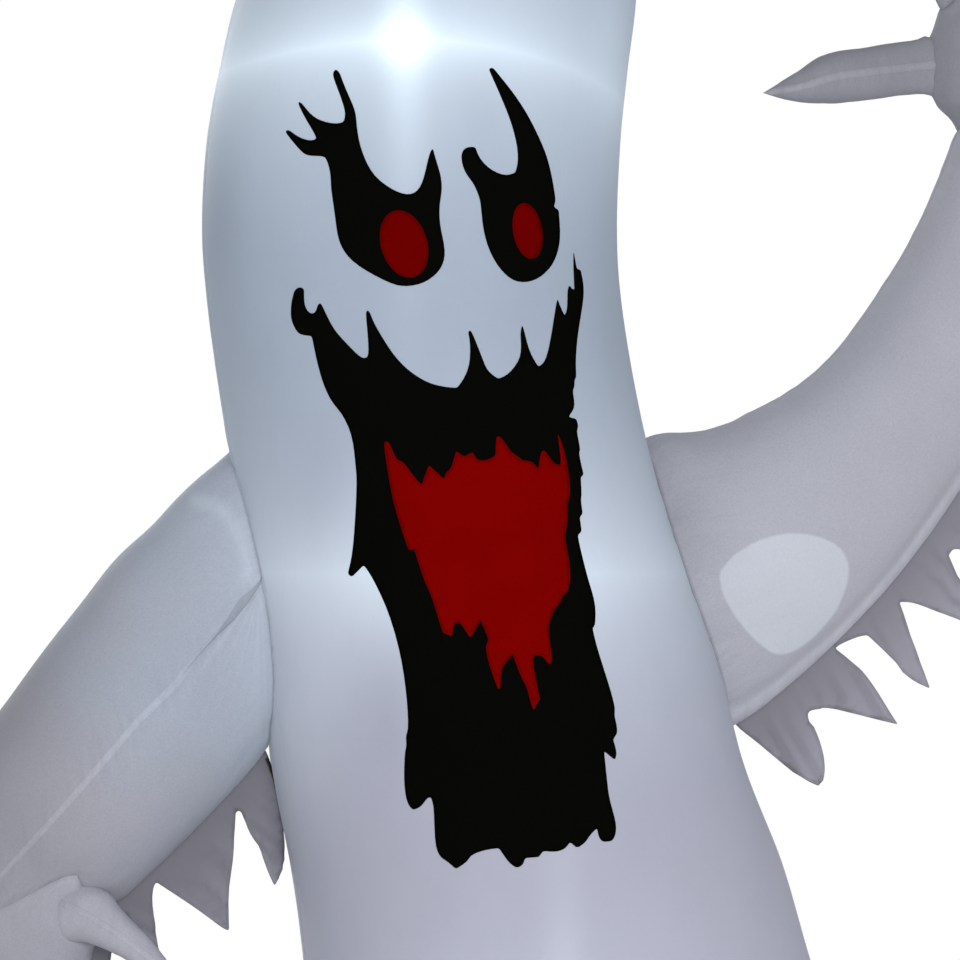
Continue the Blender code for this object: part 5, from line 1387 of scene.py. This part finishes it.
def ellipse_pixels(column, row, half_width, half_height, tilt):
    """Pixels round a leaning ellipse."""
    lean = math.radians(tilt)
    points = []
    for step in range(PUPIL_POINTS):
        x = half_width * math.cos(2 * math.pi * step / PUPIL_POINTS)
        y = half_height * math.sin(2 * math.pi * step / PUPIL_POINTS)
        points.append((column + x * math.cos(lean) - y * math.sin(lean),
                       row + x * math.sin(lean) + y * math.cos(lean)))
    return points


def add_face(black, red, pupil):
    """Black eyes and mouth, with red pupils and throat on top."""
    low = PATCH_LIFT
    high = low + PATCH_THICKNESS
    for name, outline in (("left_eye_patch", LEFT_EYE), ("right_eye_patch", RIGHT_EYE),
                          ("mouth_patch", MOUTH)):
        add_patch(name + "_cloth", name, outline, low, high, black)
    low = high + PATCH_LIFT
    high = low + PATCH_THICKNESS
    for name, outline, cloth in (("left_pupil", ellipse_pixels(*LEFT_PUPIL), pupil),
                                 ("right_pupil", ellipse_pixels(*RIGHT_PUPIL), pupil),
                                 ("throat_patch", THROAT, red)):
        add_patch(name + "_cloth", name, outline, low, high, cloth)


def add_fringe(name, node, outline, limb, material):
    """A ragged single cloth that hangs from the arm's lower seam in soft waves."""
    places = [step / 8 for step in range(8 * limb.end)]
    middles = [limb.middle(place) for place in places]
    widths = [curve_value(limb.rows, place)[3] for place in places]
    alongs = lengths(middles)

    def hang(column, row):
        point = seen(column, row, ARM_SET_BACK)
        distances = [math.hypot(point.x - middle.x, point.z - middle.z) for middle in middles]
        nearest = distances.index(min(distances))
        return point, distances[nearest] - widths[nearest], alongs[nearest]

    def lift(column, row):
        point, drop, along = hang(column, row)
        swing = min(max(drop, 0) / FRINGE_DROP, 1)
        y = ARM_SET_BACK + FRINGE_WAVE * swing * math.sin(2 * math.pi * along / FRINGE_WAVE_LENGTH)
        y += FRINGE_FLUTTER * swing * noise.noise(Vector((point.x * 16, point.z * 16, limb.side)))
        back = y - ARM_SET_BACK
        return point + FRONT * (FABRIC / 2 - back), point - FRONT * (FABRIC / 2 + back)

    def depth(flat):
        spots = [Vector(point) for point in flat]
        gaps = [edge_distance(FRINGE_GAP_SHADOW, *spot) * PIXEL for spot in spots]
        signs = [1 if inside_outline(FRINGE_GAP_SHADOW, *spot) else -1 for spot in spots]
        # The drop below the arm paints shade near it; the gap depth places the painted shadow
        return {"hang": [(hang(*spot)[1], 0, 0) for spot in spots] * 2,
                "marks": [(gap * sign, 0, 0) for gap, sign in zip(gaps, signs)] * 2}

    thing, flat, triangles = add_plate(name, rounded(list(outline)), FRINGE_STEP, lift, material,
                                       [node], depth)
    declare_plate(thing, flat, triangles)


def dress_nodes(finishes):
    """Give each rigid node that stays its finish."""
    for material, names in finishes:
        for name in names:
            thing = NODES[name]
            if not thing.material_slots:
                thing.data.materials.append(material)
            for slot in thing.material_slots:
                slot.link = "OBJECT"
                slot.material = material


def add_stage():
    """A pale floor that fades to white, soft lamps and a white surround."""
    graph = Graph("floor_paper", 0.9, 0.1)
    place = graph.place()
    x, y, _ = graph.split(place)
    apart = graph.math("SQRT", graph.total(graph.times(x, x), graph.times(y, y)))
    grain = graph.noise(place, 30.0, 3.0)
    graph.set("Base Color", graph.scale_colour(rgba((0.80, 0.80, 0.80)),
                                               graph.total(graph.times(grain, 0.03), 0.985)))
    graph.set("Emission Color", graph.scale_colour(rgba((1, 1, 1)), graph.band(apart, *FLOOR_FADE)))
    graph.set("Emission Strength", 1.0)
    bpy.ops.mesh.primitive_circle_add(vertices=FLOOR_EDGES, radius=FLOOR_RADIUS, fill_type="NGON")
    floor = bpy.context.object
    floor.name = "floor"
    floor.data.materials.append(graph.material)

    world = bpy.data.worlds.new("surround")
    bpy.context.scene.world = world
    world.use_nodes = True
    tree = world.node_tree
    soft = tree.nodes["Background"]
    soft.inputs["Color"].default_value = (0.96, 0.98, 1.0, 1)
    soft.inputs["Strength"].default_value = WORLD_LIGHT
    white = tree.nodes.new("ShaderNodeBackground")
    white.inputs["Color"].default_value = (1, 1, 1, 1)
    rays = tree.nodes.new("ShaderNodeLightPath")
    seen_rays = rays.outputs["Is Camera Ray"]
    for output in ("Is Glossy Ray", "Is Transmission Ray"):
        join = tree.nodes.new("ShaderNodeMath")
        join.operation = "MAXIMUM"
        tree.links.new(seen_rays, join.inputs[0])
        tree.links.new(rays.outputs[output], join.inputs[1])
        seen_rays = join.outputs[0]
    blend = tree.nodes.new("ShaderNodeMixShader")
    tree.links.new(seen_rays, blend.inputs[0])
    tree.links.new(soft.outputs[0], blend.inputs[1])
    tree.links.new(white.outputs[0], blend.inputs[2])
    tree.links.new(blend.outputs[0], tree.nodes["World Output"].inputs["Surface"])

    for name, spot, size, power in LAMPS:
        light = bpy.data.lights.new(name, "AREA")
        light.shape = "DISK"
        light.size = size
        light.energy = power
        thing = bpy.data.objects.new(name, light)
        bpy.context.scene.collection.objects.link(thing)
        thing.location = spot
        aim = Vector((0, 0, BODY_HEIGHT / 2)) - Vector(spot)
        thing.rotation_euler = aim.to_track_quat("-Z", "Y").to_euler()


def add_camera():
    """The eye that looked at the ghost."""
    lens = bpy.data.cameras.new("camera")
    lens.sensor_width = SENSOR_WIDTH
    lens.lens = SENSOR_WIDTH * EYE_DISTANCE / (PICTURE_WIDTH * PIXEL)
    lens.clip_end = FAR_CLIP
    thing = bpy.data.objects.new("camera", lens)
    bpy.context.scene.collection.objects.link(thing)
    thing.matrix_world = frame_matrix(EYE, EYE_RIGHT, UP, -EYE_FORWARD)
    bpy.context.scene.camera = thing
    bpy.context.scene.view_settings.view_transform = "Standard"


add_camera()
body_cloth = body_material()
# One arm cloth in lighter and darker copies: the first number paints the light or shade on each arm and
# hand; the lowered arm gets a painted fold shadow and strip highlight, the raised arm a painted pool of
# light and a painted highlight on its hem strip, and the raised hand painted highlights on its finger seams
lowered_cloth = arm_material("lowered_arm_cloth", 0.88, NEAR_LIT_BLUE, glow=0.09, mark_shade=0.22, strip=0.008,
                            strip_light=0.16)
raised_cloth = arm_material("raised_arm_cloth", 0.98, NEAR_LIT_GREY, mark_light=0.15, strip=0.115,
                           strip_light=0.30)
lowered_hand = arm_material("lowered_hand_cloth", 1.02, NEAR_LIT_GREY)
raised_hand = arm_material("raised_hand_cloth", 0.67, NEAR_LIT_GREY, strip=0.008, strip_light=0.15)
add_body(body_cloth)
add_base(webbing_material("base_cloth_weave", (0.10, 0.10, 0.11)))
add_arm(LOWERED, (("lowered_arm_upper_cloth", "lowered_arm_upper", -QUARTER),
                  ("lowered_arm_lower_cloth", "lowered_arm_lower", QUARTER)), True, lowered_cloth)
add_arm(RAISED, (("raised_arm_front_cloth", "raised_arm_front", 0),
                 ("raised_arm_back_cloth", "raised_arm_back", math.pi)), False, raised_cloth)
add_hand("lowered_palm", LOWERED, LOWERED_FINGERS, lowered_hand)
add_hand("raised_palm", RAISED, RAISED_FINGERS, raised_hand)
# The lowered fringe is a darker copy of the same cloth: painted shade
add_fringe("lowered_fringe_cloth", "lowered_fringe", LOWERED_FRINGE, LOWERED,
           fringe_material("lowered_fringe_weave", 0.84))
add_fringe("raised_fringe_cloth", "raised_fringe", RAISED_FRINGE, RAISED,
           fringe_material("raised_fringe_weave", 1.0))
add_face(plain_cloth_material("black_patch_cloth", BLACK_CLOTH, 0.0, 0.9),
         plain_cloth_material("red_patch_cloth", RED_CLOTH, 0.0, 0.85, THROAT_GLOW),
         plain_cloth_material("pupil_cloth", scaled(RED_CLOTH, PUPIL_SHARE), 0.0, 0.85))
plastic = moulded_material("blower_plastic", (0.09, 0.09, 0.095), 0.45)
dark = moulded_material("dark_plastic_grain", (0.03, 0.03, 0.03), 0.5)
steel = metal_material("plated_steel", (0.55, 0.56, 0.58), 0.28)
webbing = webbing_material("webbing_weave", (0.03, 0.03, 0.033))
zipper = webbing_material("zipper_weave", (0.55, 0.56, 0.60))
dress_nodes((
    (plain_cloth_material("collar_cloth", (0.30, 0.31, 0.36), 0.3, 0.7), ["blower_collar"]),
    (moulded_material("cable_sheath", (0.02, 0.02, 0.022), 0.55, 0.1),
     [f"lamp_cable_{number}" for number in LAMP_NUMBERS]),
    (webbing, ["collar_strap", "tether_tab_left", "tether_tab_right", "stake_tab_front_left",
               "stake_tab_front_right", "stake_tab_back_left", "stake_tab_back_right"]),
    (zipper, ["zip_tape", "zip_chain"]),
    (plastic, ["blower_duct", "outlet_guard", "blower_stand",
               *(f"lamp_housing_{number}" for number in LAMP_NUMBERS)]),
    (dark, ["intake_grille", "impeller", "cord_gland"]),
    (lens_material(), [f"lamp_lens_{number}" for number in LAMP_NUMBERS]),
    (steel, ["motor", "motor_shaft", "zip_slider", "zip_pull", "d_ring_left", "d_ring_right"])))
add_stage()
